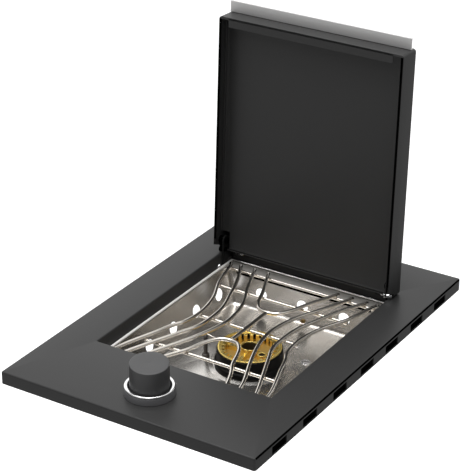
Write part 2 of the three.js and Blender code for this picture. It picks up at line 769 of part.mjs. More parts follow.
function tapBody() {
  const flangeTop = -panelSheet - touchGap;
  const flangeBottom = flangeTop - tapFlangeThickness;
  const round = tapBodyRadius / 5;
  const body = turned([[tapBodyRadius - round, tapBodyBottom], [tapBodyRadius, tapBodyBottom + round],
    [tapBodyRadius, tapBodyTop - round], [tapBodyRadius - round, tapBodyTop]], 18);
  const neck = turned([[tapNeckRadius, tapBodyTop - overrun], [tapNeckRadius, 0]], 18);
  const ends = tapFlangeLength / 2 - tapFlangeWidth / 2;
  const shape = new THREE.Shape();
  shape.absarc(ends, 0, tapFlangeWidth / 2, -quarterTurn, quarterTurn);
  shape.absarc(-ends, 0, tapFlangeWidth / 2, quarterTurn, quarterTurn * 3);
  const flange = new THREE.ExtrudeGeometry(shape, { depth: tapFlangeThickness, bevelEnabled: false, curveSegments: 5 });
  const inlet = moved(alongX(turned([[tapPortRadius, 0], [tapPortRadius, tapPortReach]], 12)), 0, 0, tapPortHeight);
  const outlet = moved(alongY(turned([[tapPortRadius, 0], [tapPortRadius, tapPortReach]], 12)), 0, 0, tapPortHeight);
  const bore = turned([[tapBore, tapBoreBottom], [tapBore, overrun]], 16);
  const tap = shaped(body, [neck, moved(flange, 0, 0, flangeBottom), inlet, outlet], [bore]);
  return moved(tap, 0, tapY, 0);
}

function bezelBody() {
  const hole = tapNeckRadius + fitGap;
  const profile = [[hole, touchGap], [bezelFootRadius, touchGap], [bezelTopRadius, bezelHeight],
    [bezelBore, bezelHeight], [bezelBore, bezelFloor], [hole, bezelFloor]];
  return moved(turned(profile, 28, true), 0, tapY, 0);
}

function bezelRing() {
  const low = bezelHeight + touchGap;
  const top = bezelHeight + bezelRingHeight;
  const round = bezelRingRound;
  const profile = [[bezelBore, low], [bezelRingRadius - round / 2, low], [bezelRingRadius, low + round / 2],
    [bezelRingRadius, top - round], [bezelRingRadius - round / 3, top - round / 3], [bezelRingRadius - round, top],
    [bezelBore + round, top], [bezelBore + round / 3, top - round / 3], [bezelBore, top - round]];
  return moved(turned(profile, 28, true), 0, tapY, 0);
}

// The flat that keys the knob to its stem, as a cut on one side
function stemCut(clearance, low, high) {
  return block([-stemRadius - overrun, stemRadius + overrun], [stemFlat + clearance, stemRadius + overrun], [low, high]);
}

function knob() {
  const inner = knobRadius - knobWall;
  const top = knobRim + knobDome;
  const dome = [0.95, 0.8, 0.55, 0.3].map((share) => [share * knobTopRadius, top - share * share * knobDome * 0.8]);
  const profile = [[inner, knobBottom], [knobRadius, knobBottom], [knobTopRadius, knobRim - knobEdge],
    [knobTopRadius - knobEdge / 3, knobRim - knobEdge / 3], ...dome, [leastRadius, top], [leastRadius, knobHollow],
    [knobBossRadius, knobHollow], [inner - knobEdge, knobHollow], [inner, knobHollow - knobEdge]];
  profile.splice(profile.length - 3, 1);
  const bossHigh = knobHollow + knobEdge;
  const boss = turned([[knobBossRadius, knobBossBottom], [knobBossRadius, bossHigh]], 24);
  const plug = turned([[leastRadius * 2, knobHollow - touchGap], [leastRadius * 2, top - knobDome / 3]], 12);
  const bore = shaped(turned([[stemRadius + fitGap, knobBossBottom - overrun],
    [stemRadius + fitGap, stemTop + fitGap]], 20), [], [stemCut(fitGap, knobBossBottom - overrun, stemTop + overrun)]);
  return shaped(turned(profile, 28, true), [boss, plug], [bore]);
}

function tapStem() {
  const collarBottom = stemCollarTop - stemCollarHeight;
  const round = stemRadius / 4;
  const profile = [[stemTailRadius, stemBottom], [stemTailRadius, collarBottom], [stemCollarRadius, collarBottom],
    [stemCollarRadius, stemCollarTop], [stemRadius, stemCollarTop], [stemRadius, stemTop - round],
    [stemRadius - round, stemTop]];
  return shaped(turned(profile, 20), [], [stemCut(0, knobBossBottom, stemTop + overrun)]);
}

const washerTop = stemCollarTop - stemCollarHeight - touchGap;
const washerBottom = washerTop - washerThickness;

function thrustWasher() {
  const inner = stemTailRadius + fitGap;
  const outer = tapBore - fitGap;
  return turned([[inner, washerBottom], [outer, washerBottom], [outer, washerTop], [inner, washerTop]], 24, true);
}

function returnSpring() {
  const low = tapBoreBottom + springWire + touchGap;
  const high = washerBottom - springWire - touchGap;
  const steps = springTurns * 6;
  const across = springWire;
  const rings = Array.from({ length: steps + 1 }, (_, step) => {
    const angle = (step / steps) * springTurns * fullTurn;
    const height = low + (step / steps) * (high - low);
    const out = new THREE.Vector3(Math.cos(angle), Math.sin(angle), 0);
    return Array.from({ length: 4 }, (_, side) => {
      const turn = (side / 4) * fullTurn;
      const reach = springRadius + across * Math.cos(turn);
      return new THREE.Vector3(out.x * reach, out.y * reach, height + across * Math.sin(turn));
    });
  });
  return loft(rings, false);
}

const inletStart = portNutStart + portNutLength / 2;

function inletPipe() {
  const start = new THREE.Vector3(inletStart, tapY, tapPortHeight);
  const corner = new THREE.Vector3(inletX, tapY, tapPortHeight);
  const end = new THREE.Vector3(inletX, inletRear, tapPortHeight);
  const points = [start, ...bendPoints(start, corner, end, inletBend), end];
  return loft(swept(points, new THREE.Vector3(0, 0, 1), inletRadius, 10), false);
}

function inletNipple() {
  const profile = [[nippleHexRadius, 0], [nippleHexRadius, nippleHexLength]];
  const spout = turned([[nippleRadius, nippleHexLength / 2], [nippleRadius, nippleHexLength + nippleLength]], 20);
  const bore = turned([[nippleBore, nippleHexLength], [nippleBore, nippleHexLength + nippleLength + overrun]], 16);
  const fitting = shaped(turned(profile, 6), [spout], [bore]);
  return moved(alongY(fitting), inletX, inletRear + touchGap, tapPortHeight);
}

function pipeClip() {
  const top = -panelSheet - touchGap;
  const inner = inletRadius + fitGap;
  const outer = inner + clipSheet;
  const arcCount = 8;
  const arc = (radius, from, to) => Array.from({ length: arcCount + 1 }, (_, step) => {
    const angle = from + (step / arcCount) * (to - from);
    return [inletX + radius * Math.cos(angle), tapPortHeight + radius * Math.sin(angle)];
  });
  const points = [[inletX + outer + clipWidth / 2, top], ...arc(outer, 0, -quarterTurn * 2),
    ...arc(inner, -quarterTurn * 2, 0), [inletX + inner, top - clipSheet],
    [inletX + inner, top]];
  points.splice(1, 0, [inletX + outer + clipWidth / 2, top - clipSheet], [inletX + outer, top - clipSheet]);
  return drawnAlongY(points, clipY - clipWidth / 2, clipY + clipWidth / 2);
}

function igniterPost() {
  const collar = floorTop + touchGap;
  const round = igniterRadius / 4;
  const profile = [[igniterRadius, igniterBottom], [igniterRadius, collar], [igniterCollarRadius, collar],
    [igniterCollarRadius, collar + igniterCollarHeight], [igniterRadius, collar + igniterCollarHeight + round],
    [igniterRadius, igniterTop - round], [igniterRadius - round, igniterTop]];
  return moved(turned(profile, 18), igniterX, igniterY, 0);
}

function igniterTip() {
  const base = igniterTop + touchGap;
  const points = [[0, 0], [0, tipRise * 0.6], [tipRise * 0.5, tipRise], [tipReach * 0.6, tipRise - tipDip / 2],
    [tipReach, tipRise - tipDip]].map(([along, up]) => new THREE.Vector3(igniterX + along, igniterY, base + up));
  return tube(points, tipRadius, 14, 8);
}

function igniterClip() {
  const top = floorTop - panSheet - touchGap;
  const inner = igniterRadius + touchGap * 2;
  const outer = igniterCollarRadius + fitGap;
  const profile = [[inner, top - igniterClipHeight], [outer, top - igniterClipHeight], [outer, top], [inner, top]];
  return moved(turned(profile, 18, true), igniterX, igniterY, 0);
}

function ignitionModule() {
  const top = -panelSheet - touchGap;
  const half = moduleWidth / 2;
  const frame = { halfWidth: half, front: moduleFront, rear: moduleRear, radius: moduleCorner };
  const edge = moduleCorner / 4;
  const rings = [rectangleRing(frame, edge, top - moduleHeight), rectangleRing(frame, 0, top - moduleHeight + edge),
    rectangleRing(frame, 0, top)];
  return moved(loft(rings, false), moduleX, 0, 0);
}

// The lead runs from the back of the module, down in front of the pan and along under its floor to the igniter
function ignitionLead() {
  const startY = moduleRear + fitGap;
  const startZ = -panelSheet - moduleHeight / 2;
  const points = leadShares.map(([aside, along, down]) => new THREE.Vector3(
    moduleX + aside * (igniterX - moduleX), startY + along * (igniterY - startY),
    startZ + down * (-leadDepth - leadRadius - startZ)));
  points[points.length - 1].set(igniterX, igniterY - igniterRadius, igniterBottom - leadRadius - fitGap);
  return tube(points, leadRadius, 36, 6);
}

function bracket() {
  const arcCount = 10;
  const arc = Array.from({ length: arcCount + 1 }, (_, step) => {
    const angle = (step / arcCount) * quarterTurn * 2;
    return [pivotY + bracketEye * Math.cos(angle), pivotZ + bracketEye * Math.sin(angle)];
  });
  const rear = openingRear - touchGap;
  const front = pivotY - bracketEye;
  const points = [[front, bracketBottom], [rear - bracketSheet * 2, bracketBottom], [rear, footBottom], [rear, footTop],
    [rear - bracketSheet * 4, footTop], ...arc];
  const plate = drawnAlongX(points, bracketInner, bracketInner + bracketSheet);
  const foot = block([footInner, bracketInner + bracketSheet / 2], [rear - panelSheet, rear], [footBottom, footTop]);
  const pin = pivotRadius + fitGap;
  const bolt = stopShankRadius + fitGap;
  const cuts = [[pin, pivotY, pivotZ], [bolt, stopY, stopZ]].map(([radius, y, z]) => moved(alongX(turned(
    [[radius, -overrun], [radius, overrun]], 20)), bracketInner, y, z));
  const footHole = turned([[screwRadius + fitGap, -overrun], [screwRadius + fitGap, overrun]], 10);
  cuts.push(moved(alongY(footHole), footScrewX, rear, footScrewZ));
  return shaped(plate, [foot], cuts);
}

function stopBolt() {
  const seat = bracketInner + bracketSheet + touchGap;
  const height = stopHeadReach - seat;
  const screw = slottedScrew(stopHeadRadius, height, stopShankRadius, bracketSheet + touchGap + stopTail);
  return moved(alongX(screw), seat, stopY, stopZ);
}

function footScrew() {
  const screw = slottedScrew(footScrewHeadRadius, screwHeadHeight, screwRadius, screwLength);
  const seat = openingRear - touchGap * 2 - panelSheet;
  return moved(screw.rotateX(quarterTurn), footScrewX, seat, footScrewZ);
}

function flangeScrew() {
  const screw = slottedScrew(screwHeadRadius, screwHeadHeight, screwRadius, screwLength);
  return moved(screw.rotateY(-quarterTurn), openingHalfWidth - touchGap, flangeScrewY, flangeScrewZ);
}

function floorScrew() {
  const screw = slottedScrew(floorScrewHeadRadius, screwHeadHeight, screwRadius, screwLength);
  return moved(screw, floorScrewX, floorScrewY, floorTop + touchGap);
}

// Lid, shut, about its hinge pins
const lidEdge = { halfWidth: lidHalfWidth, front: lidFront, rear: lidRear, radius: lidCorner };
const lidTop = lidLip + lidHeight;

function lidShell() {
  const rings = fold(lidFold, lidTop).reverse().map(([inset, height]) => rectangleRing(lidEdge, inset, height));
  rings.push(rectangleRing(lidEdge, 0, lidLip));
  rings.push(rectangleRing(lidEdge, hemWidth, lidLip));
  rings.push(rectangleRing(lidEdge, hemWidth, lidLip + lidSheet));
  rings.push(rectangleRing(lidEdge, lidSheet, lidLip + lidSheet));
  fold(lidFold - lidSheet, lidTop - lidSheet).forEach(([inset, height]) => {
    rings.push(rectangleRing(lidEdge, lidSheet + inset, height));
  });
  const band = block([-bandHalfLength, bandHalfLength], [lidFront + lidSheet / 2, lidFront + bandHeight],
    [lidLip, lidLip + lidSheet]);
  const farthest = lidRear + overrun;
  const lowest = lidLip - overrun;
  const wide = lidHalfWidth + overrun;
  const corner = drawnAlongX([[cornerCut[0][0], lowest], ...cornerCut, [farthest, cornerCut[2][1]],
    [farthest, lowest]], -wide, wide);
  const rearCut = block([-rearWallHalfLength, rearWallHalfLength], [cornerCut[0][0], farthest],
    [lowest, rearWallBottom]);
  const hemSide = lidHalfWidth - lidSheet;
  const hems = [1, -1].map((side) => block([side > 0 ? hemSide - overrun : -hemSide,
    side > 0 ? hemSide : overrun - hemSide], [hemEnd, farthest], [lowest, lidLip + lidSheet + fitGap]));
  const slots = [1, -1].map((side) => block([side > 0 ? rearWallHalfLength : -rearSlotEnd,
    side > 0 ? rearSlotEnd : -rearWallHalfLength], [lidRear - lidSheet - fitGap, farthest],
  [lowest, lidTop - lidFold]));
  return shaped(loft(rings, false), [band], [corner, rearCut, ...hems, ...slots]);
}

function lidLiner() {
  const wide = lidHalfWidth - lidSheet - fitGap;
  const face = lidLip + linerRecess;
  const back = face + linerSheet;
  const low = face - linerFlange;
  const edge = { halfWidth: wide, front: lidFront + lidSheet + fitGap, rear: linerRear + linerFlange,
    radius: lidCorner - lidSheet - fitGap };
  const rings = [[linerSheet, back], [0, back - linerSheet], [0, low], [linerSheet, low], [linerSheet, face]];
  const tray = loft(rings.map(([inset, height]) => rectangleRing(edge, inset, height)), false);
  const notch = studReach - fitGap * 2;
  const heights = [low - overrun, back + overrun];
  const cuts = [1, -1].map((side) => block([side > 0 ? notch : -wide - overrun, side > 0 ? wide + overrun : -notch],
    [linerNotch, linerRear + overrun], heights));
  cuts.push(block([-wide - overrun, wide + overrun], [linerRear, linerRear + linerFlange + overrun], heights));
  return shaped(tray, [], cuts);
}

function handleStrip() {
  const seat = lidFront - fitGap;
  const low = lidLip + stripRecess;
  const high = low + stripThickness;
  const tip = lidFront - stripReach;
  const round = stripThickness / 3;
  const points = [[seat, low], [seat, high + stripFoot], [seat - stripThickness / 2, high + stripFoot],
    [seat - stripThickness / 2, high], [tip + round, high], [tip, high - round], [tip, low + round],
    [tip + round, low]];
  return drawnAlongX(points, -stripHalfLength, stripHalfLength);
}

function pivotStud() {
  const shoulder = bracketInner + bracketSheet + fitGap;
  const rivet = bracketInner - fitGap;
  const profile = [[studRivetRadius - fitGap, studReach], [studRivetRadius, studReach + fitGap],
    [studRivetRadius, rivet], [pivotRadius, rivet], [pivotRadius, shoulder], [studShoulder, shoulder],
    [studShoulder, lidHalfWidth - lidSheet - fitGap]];
  return alongX(turned(profile, 20));
}

// Grate
const crossHeight = ledgeTop + crossWireRadius + touchGap;
const longHeight = crossHeight + crossWireRadius + wireRadius + touchGap;
const gratePoint = ([aside, along], side) => new THREE.Vector3(side * aside * grateHalfWidth,
  grateFront + along * (grateRear - grateFront), longHeight);

function addWires(parent, name, shares) {
  add(parent, `${name}_right`, tube(shares.map((share) => gratePoint(share, 1)), wireRadius, 20, 6), steelWire);
  add(parent, `${name}_left`, tube(shares.map((share) => gratePoint(share, -1)), wireRadius, 20, 6), steelWire);
}

function wireLoop(shares) {
  const right = shares.map((share) => gratePoint(share, 1));
  const left = shares.slice(0, -1).reverse().map((share) => gratePoint(share, -1));
  return tube([...right, ...left], wireRadius, 28, 6);
}

// Assembly
const fixed = new THREE.Group();
add(fixed, 'trim_panel', trimPanel(), blackPaint);
addPair(fixed, 'side_rail', sideRail(), blackPaint);
add(fixed, 'basin', pan(), brushedSteel);
add(fixed, 'slot_baffle', slotBaffle(), blackPaint);
add(fixed, 'floor_brace', floorBrace(), zincSteel);
addPair(fixed, 'floor_screw', floorScrew(), zincSteel);
addPair(fixed, 'flange_screw', flangeScrew(), zincSteel);
addPair(fixed, 'hinge_bracket', bracket(), blackPaint);
addPair(fixed, 'foot_screw', footScrew(), zincSteel);
addPair(fixed, 'stop_bolt', stopBolt(), zincSteel);
add(fixed, 'burner_bowl', burnerBowl(), castIron);
add(fixed, 'burner_head', burnerHead(), burnerBrass);
add(fixed, 'mixing_tube', mixingTube(), zincSteel);
add(fixed, 'air_shutter', airShutter(), zincSteel);
add(fixed, 'injector', injector(), tapBrass);
add(fixed, 'supply_tube', supplyTube(), zincSteel);
const outletNut = moved(alongY(portNut(supplyRadius)), 0, tapY + portNutStart, tapPortHeight);
add(fixed, 'outlet_nut', outletNut, tapBrass);
const inletNut = moved(alongX(portNut(inletRadius)), portNutStart, tapY, tapPortHeight);
add(fixed, 'inlet_nut', inletNut, tapBrass);
add(fixed, 'tap_body', tapBody(), tapBrass);
add(fixed, 'inlet_pipe', inletPipe(), zincSteel);
add(fixed, 'inlet_nipple', inletNipple(), tapBrass);
add(fixed, 'pipe_clip', pipeClip(), zincSteel);
add(fixed, 'bezel_body', bezelBody(), greyPaint);
add(fixed, 'bezel_ring', bezelRing(), polishedChrome);
add(fixed, 'ignition_module', ignitionModule(), blackPlastic);
add(fixed, 'ignition_lead', ignitionLead(), blackPlastic);
add(fixed, 'igniter_post', igniterPost(), ceramic);
add(fixed, 'igniter_tip', igniterTip(), steelWire);
add(fixed, 'igniter_clip', igniterClip(), zincSteel);

const control = new THREE.Group();
control.position.set(0, tapY, 0);
add(control, 'thrust_washer', thrustWasher(), zincSteel);
add(control, 'return_spring', returnSpring(), steelWire);
add(control, 'tap_stem', tapStem(), tapBrass);
add(control, 'knob', knob(), blackPlastic);

const lid = new THREE.Group();
lid.position.set(0, pivotY, pivotZ);
lid.rotation.x = -THREE.MathUtils.degToRad(lidOpenAngle);
add(lid, 'lid_shell', lidShell(), blackPaint);
add(lid, 'lid_liner', lidLiner(), greyPaint);
add(lid, 'handle_strip', handleStrip(), brushedSteel);
addPair(lid, 'pivot_stud', pivotStud(), zincSteel);

const grate = new THREE.Group();
addWires(grate, 'outer_wire', outerWireShares);
addWires(grate, 'middle_wire', middleWireShares);
addWires(grate, 'inner_wire', innerWireShares);
add(grate, 'rear_loop', wireLoop(rearLoopShares), steelWire);
add(grate, 'front_loop', wireLoop(frontLoopShares), steelWire);
const rodFront = gratePoint(frontLoopShares[frontLoopShares.length - 1], 1);
const rodRear = gratePoint(rearLoopShares[rearLoopShares.length - 1], 1);
rodFront.y += wireRadius + touchGap;
rodRear.y -= wireRadius + touchGap;
add(grate, 'centre_rod', rod(rodFront, rodRear, wireRadius, 8), steelWire);
crossWireYShares.forEach((share, row) => {
  const y = grateFront + share * (grateRear - grateFront);
  const half = crossWireHalfShares[row] * grateHalfWidth;
  const wire = rod(new THREE.Vector3(-half, y, crossHeight), new THREE.Vector3(half, y, crossHeight),
    crossWireRadius, 8);
  add(grate, `cross_wire_${row + 1}`, wire, steelWire);
});

burner.add(fixed, control, lid, grate);
burner.position.set(0, -panelDepth / 2, skirtDrop);

export default burner;
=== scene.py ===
import math

import bmesh
import bpy
from mathutils import Matrix, Vector


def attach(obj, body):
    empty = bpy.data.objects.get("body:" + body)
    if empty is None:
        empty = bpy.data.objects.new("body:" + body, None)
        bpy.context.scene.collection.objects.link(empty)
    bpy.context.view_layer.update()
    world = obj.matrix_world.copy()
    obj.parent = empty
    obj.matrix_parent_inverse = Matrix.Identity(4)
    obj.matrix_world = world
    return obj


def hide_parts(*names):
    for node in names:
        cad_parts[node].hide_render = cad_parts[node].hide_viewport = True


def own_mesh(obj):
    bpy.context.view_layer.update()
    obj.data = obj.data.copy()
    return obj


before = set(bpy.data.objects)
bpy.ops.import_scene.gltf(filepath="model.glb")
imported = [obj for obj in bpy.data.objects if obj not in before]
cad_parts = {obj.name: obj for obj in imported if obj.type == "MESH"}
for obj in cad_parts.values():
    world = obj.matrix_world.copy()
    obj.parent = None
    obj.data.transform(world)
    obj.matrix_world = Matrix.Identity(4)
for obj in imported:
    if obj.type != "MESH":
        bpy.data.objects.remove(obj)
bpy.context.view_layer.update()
bench = bpy.context.scene.collection

# Camera: a long lens in front of the unit and to its right, looking down at about 26 degrees.
# Its place, turn and focal length are worked out from the panel's and the opening's corners.
VIEW_TURN, VIEW_DROP = math.radians(32.365), math.radians(26.405)
LENS_PLACE = Vector((1.0635, -1.7020, 1.1275))
LENS_PIXELS, PHOTO_HEIGHT, SENSOR = 1922.13, 472, 36
looking_back = Vector((math.sin(VIEW_TURN) * math.cos(VIEW_DROP), -math.cos(VIEW_TURN) * math.cos(VIEW_DROP),
                       math.sin(VIEW_DROP)))
looking_right = Vector((math.cos(VIEW_TURN), math.sin(VIEW_TURN), 0))
looking_up = looking_back.cross(looking_right)
camera = bpy.data.objects.new("camera", bpy.data.cameras.new("camera"))
camera.data.sensor_width = SENSOR
camera.data.lens = LENS_PIXELS / PHOTO_HEIGHT * SENSOR
camera.data.clip_start, camera.data.clip_end = 0.05, 50
turn = Matrix((looking_right, looking_up, looking_back)).transposed().to_4x4()
camera.matrix_world = Matrix.Translation(LENS_PLACE) @ turn
bench.objects.link(camera)
bpy.context.scene.camera = camera

# Studio: a white backdrop behind the unit and above it, and a dim room in front of it, so that polished faces
# that look forward go dark. A wide lamp hangs overhead, one stands in front, and a narrow weak one at the left.
# The pale floor and the white surround are there for the eye only.
bpy.context.scene.view_settings.view_transform = "Standard"
surround = bpy.data.worlds.new("surround")
surround.use_nodes = True
bpy.context.scene.world = surround
ROOM = ((0.0, 0.10), (0.15, 0.13), (0.30, 0.32), (0.60, 0.32), (0.70, 0.40), (0.86, 1.15), (1.0, 1.30))
GROUND = ((0.0, 0.85), (0.30, 0.92), (0.55, 0.80), (0.67, 0.34), (0.74, 0.32), (0.86, 0.70), (1.0, 0.80))
GROUND_AT, CEILING_FROM, CEILING_AT, CEILING = -0.3, 0.60, 0.85, 1.05
STAGE_HALF, STAGE_Z, STAGE_TONE, STAGE_SHINE = 12, -0.9, (0.95, 0.95, 0.95, 1), 0.45


def node_of(tree, kind, **values):
    node = tree.nodes.new(kind)
    for name, value in values.items():
        if name in node.inputs:
            node.inputs[name].default_value = value
        else:
            setattr(node, name, value)
    return node


def room_light(tree):
    """Light by direction: how far to the back, and how high."""
    way = node_of(tree, "ShaderNodeTexCoord")
    back = node_of(tree, "ShaderNodeVectorMath", operation="DOT_PRODUCT")
    back.inputs[1].default_value = (-math.sin(VIEW_TURN), math.cos(VIEW_TURN), 0)
    depth = node_of(tree, "ShaderNodeMapRange")
    depth.inputs["From Min"].default_value = -1.0
    ramps = [node_of(tree, "ShaderNodeValToRGB") for _ in (ROOM, GROUND)]
    for ramp, stops in zip(ramps, (ROOM, GROUND)):
        for place, level in stops[1:-1]:
            ramp.color_ramp.elements.new(place)
        for stop, (place, level) in zip(ramp.color_ramp.elements, stops):
            stop.position, stop.color = place, (level, level, level, 1)
    below, sides = node_of(tree, "ShaderNodeMapRange"), node_of(tree, "ShaderNodeMixRGB")
    below.inputs["From Min"].default_value, below.inputs["From Max"].default_value = 0.0, GROUND_AT
    height = node_of(tree, "ShaderNodeSeparateXYZ")
    above = node_of(tree, "ShaderNodeMapRange", interpolation_type="SMOOTHSTEP")
    above.inputs["From Min"].default_value, above.inputs["From Max"].default_value = CEILING_FROM, CEILING_AT
    over = node_of(tree, "ShaderNodeMixRGB", Color2=(CEILING, CEILING, CEILING, 1))
    eye, seen = node_of(tree, "ShaderNodeLightPath"), node_of(tree, "ShaderNodeMixRGB", Color2=(1, 1, 1, 1))
    link = tree.links.new
    link(way.outputs["Generated"], back.inputs[0])
    link(way.outputs["Generated"], height.inputs["Vector"])
    link(back.outputs["Value"], depth.inputs["Value"])
    for ramp, side in zip(ramps, ("Color1", "Color2")):
        link(depth.outputs["Result"], ramp.inputs["Fac"])
        link(ramp.outputs["Color"], sides.inputs[side])
    link(height.outputs["Z"], below.inputs["Value"])
    link(below.outputs["Result"], sides.inputs["Fac"])
    link(height.outputs["Z"], above.inputs["Value"])
    link(above.outputs["Result"], over.inputs["Fac"])
    link(sides.outputs["Color"], over.inputs["Color1"])
    link(eye.outputs["Is Camera Ray"], seen.inputs["Fac"])
    link(over.outputs["Color"], seen.inputs["Color1"])
    link(seen.outputs["Color"], tree.nodes["Background"].inputs["Color"])


room_light(surround.node_tree)
stage_mesh = bpy.data.meshes.new("floor")
stage_mesh.from_pydata([(x * STAGE_HALF, y * STAGE_HALF, STAGE_Z) for x, y in ((-1, -1), (1, -1), (1, 1), (-1, 1))],
                       [], [(0, 1, 2, 3)])
stage_floor = bpy.data.objects.new("floor", stage_mesh)
stage_paint = bpy.data.materials.new("floor")
stage_paint.use_nodes = True
stage_face = stage_paint.node_tree.nodes["Principled BSDF"]
stage_face.inputs["Base Color"].default_value = STAGE_TONE
stage_face.inputs["Roughness"].default_value = 0.9
stage_face.inputs["Emission Color"].default_value = STAGE_TONE
stage_face.inputs["Emission Strength"].default_value = STAGE_SHINE
stage_mesh.materials.append(stage_paint)
stage_floor.visible_diffuse = stage_floor.visible_glossy = False
bench.objects.link(stage_floor)


def lamp(name, place, size, power):
    """A soft box that looks at the middle of the unit; size in metres, power in watts."""
    light = bpy.data.lights.new(name, "AREA")
    light.shape = "RECTANGLE"
    light.size, light.size_y = size
    light.energy = power
    holder = bpy.data.objects.new(name, light)
    holder.location = place
    holder.rotation_euler = (-Vector(place)).to_track_quat("-Z", "Y").to_euler()
    bench.objects.link(holder)


lamp("overhead_box", (-0.3, -0.1, 2.2), (1.6, 1.6), 40)
lamp("front_box", (0.7, -1.7, 2.3), (0.9, 0.9), 11)
lamp("left_strip", (-1.5, -1.9, 1.75), (0.2, 0.5), 2)

# Trim panel, side rails and the baffle behind the pan: folded steel sheet with a fine satin powder coat, spot
# welded below. Seven notches near the lower edge of each side skirt let air in under the panel. The rails and the
# baffle, seen through the notches and through the pan's slot, are coloured near black with no gloss as painted
# shade, and a thin near black line of painted shade runs along the side and rear folds.
MM = 0.001
QUARTER = math.pi / 2
HANDS = (("right", 1), ("left", -1))
PANEL_DEPTH, PANEL_HALF, PANEL_CORNER, SKIRT, SHEET = 487, 170.5, 3, 15.5, 1.5
OPENING_HALF, OPENING_FRONT, OPENING_REAR, OPENING_CORNER, FLANGE = 118.7, 117, 411, 0.6, 20
NOTCH_LENGTH, NOTCH_LOW, NOTCH_TOP, NOTCH_XS = 30.5, -14.4, -4, (168.7, 176)
NOTCH_SHARES = (0.103, 0.237, 0.375, 0.506, 0.629, 0.758, 0.884)
TAP_Y, TAP_HOLE = 52.4, 7.7
TIGHTEST_CORNER = 0.3
LINE_ABOVE, LINE_BELOW = 0.04, 0.2


def at(x, y, z):
    """A place given from the panel's top face, front edge and centre line, in the frame's metres."""
    return Vector((x * MM, (y - PANEL_DEPTH / 2) * MM, (z + SKIRT) * MM))


def powder_coat(name, colour, roughness, grain=0.05, spread=0.07, size=1400.0, glint=0.5):
    """Paint with a faint orange peel, slightly uneven tone and gloss, and a share of a full shine."""
    coat = bpy.data.materials.new(name)
    coat.use_nodes = True
    tree = coat.node_tree
    face = tree.nodes["Principled BSDF"]
    face.inputs["Specular IOR Level"].default_value = glint
    place = node_of(tree, "ShaderNodeTexCoord")
    peel = node_of(tree, "ShaderNodeTexNoise", Scale=size, Detail=2.0)
    cloud = node_of(tree, "ShaderNodeTexNoise", Scale=9.0, Detail=3.0)
    tint = node_of(tree, "ShaderNodeMixRGB")
    tint.inputs["Color1"].default_value = (*[c * (1 - spread) for c in colour], 1)
    tint.inputs["Color2"].default_value = (*[c * (1 + spread) for c in colour], 1)
    gloss = node_of(tree, "ShaderNodeMapRange")
    gloss.inputs["To Min"].default_value = roughness - 0.04
    gloss.inputs["To Max"].default_value = roughness + 0.05
    bump = node_of(tree, "ShaderNodeBump", Strength=grain, Distance=0.0002)
    link = tree.links.new
    link(place.outputs["Object"], peel.inputs["Vector"])
    link(place.outputs["Object"], cloud.inputs["Vector"])
    link(cloud.outputs["Fac"], tint.inputs["Fac"])
    link(cloud.outputs["Fac"], gloss.inputs["Value"])
    link(tint.outputs["Color"], face.inputs["Base Color"])
    link(gloss.outputs["Result"], face.inputs["Roughness"])
    link(peel.outputs["Fac"], bump.inputs["Height"])
    link(bump.outputs["Normal"], face.inputs["Normal"])
    return coat


def skin(rings, closed=False):
    """A skin over rings of equal counts of points: capped at both ends, or closed into a loop."""
    count = len(rings[0])
    faces = []
    for span in range(len(rings) if closed else len(rings) - 1):
        near, far = span * count, (span + 1) % len(rings) * count
        faces += [(near + i, near + (i + 1) % count, far + (i + 1) % count, far + i) for i in range(count)]
    if not closed:
        faces += [tuple(range(count))[::-1], tuple(range(count * (len(rings) - 1), count * len(rings)))]
    mesh = bpy.data.meshes.new("skin")
    mesh.from_pydata([tuple(point) for ring in rings for point in ring], [], faces)
    return outward(mesh)


def outward(mesh):
    """The mesh with doubled points merged and every face looking out."""
    build = bmesh.new()
    build.from_mesh(mesh)
    bmesh.ops.remove_doubles(build, verts=build.verts, dist=1e-7)
    bmesh.ops.recalc_face_normals(build, faces=build.faces)
    build.to_mesh(mesh)
    build.free()
    return mesh


def joined(*meshes):
    build = bmesh.new()
    for mesh in meshes:
        build.from_mesh(mesh)
    whole = bpy.data.meshes.new("joined")
    build.to_mesh(whole)
    build.free()
    return whole


def on_bench(mesh):
    holder = bpy.data.objects.new("holder", mesh)
    bench.objects.link(holder)
    return holder


def made_plain(holder, *tools):
    """The mesh that a holder's modifiers make; the holder and its tools are put away."""
    mesh = bpy.data.meshes.new_from_object(holder.evaluated_get(bpy.context.evaluated_depsgraph_get()))
    for item in (holder, *tools):
        bpy.data.objects.remove(item)
    return mesh


def cut(mesh, *tools):
    """A mesh with other meshes taken out of it, one after another."""
    for tool in tools:
        holder, punch = on_bench(mesh), on_bench(tool)
        press = holder.modifiers.new("punch", "BOOLEAN")
        press.object, press.operation, press.solver = punch, "DIFFERENCE", "EXACT"
        mesh = made_plain(holder, punch)
    return mesh


def slab(xs, ys, zs):
    return skin([[at(x, y, z) for x, y in ((xs[0], ys[0]), (xs[1], ys[0]), (xs[1], ys[1]), (xs[0], ys[1]))]
                 for z in zs])


def side_slab(side, xs, ys, zs):
    """A slab to the right of the centre line, or the same one mirrored to its left."""
    return slab(sorted(side * x for x in xs), ys, zs)


def finished(name, mesh, material, body, slot, *stands_for, sharp=35.0):
    """A piece of the assembly, shaded round between its sharp edges."""
    mesh.shade_smooth()
    mesh.set_sharp_from_angle(angle=math.radians(sharp))
    mesh.materials.clear()
    mesh.materials.append(material)
    piece = bpy.data.objects.new(name, mesh)
    bench.objects.link(piece)
    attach(piece, body)
    if stands_for:
        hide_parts(*stands_for)
    return piece


def smoothed(node, material, body, slot, sharp=35.0):
    """A node's own shape, joined up so that its round faces shade as round."""
    return finished(node + "_dressed", outward(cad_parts[node].data.copy()), material, body, slot, node,
                    sharp=sharp)


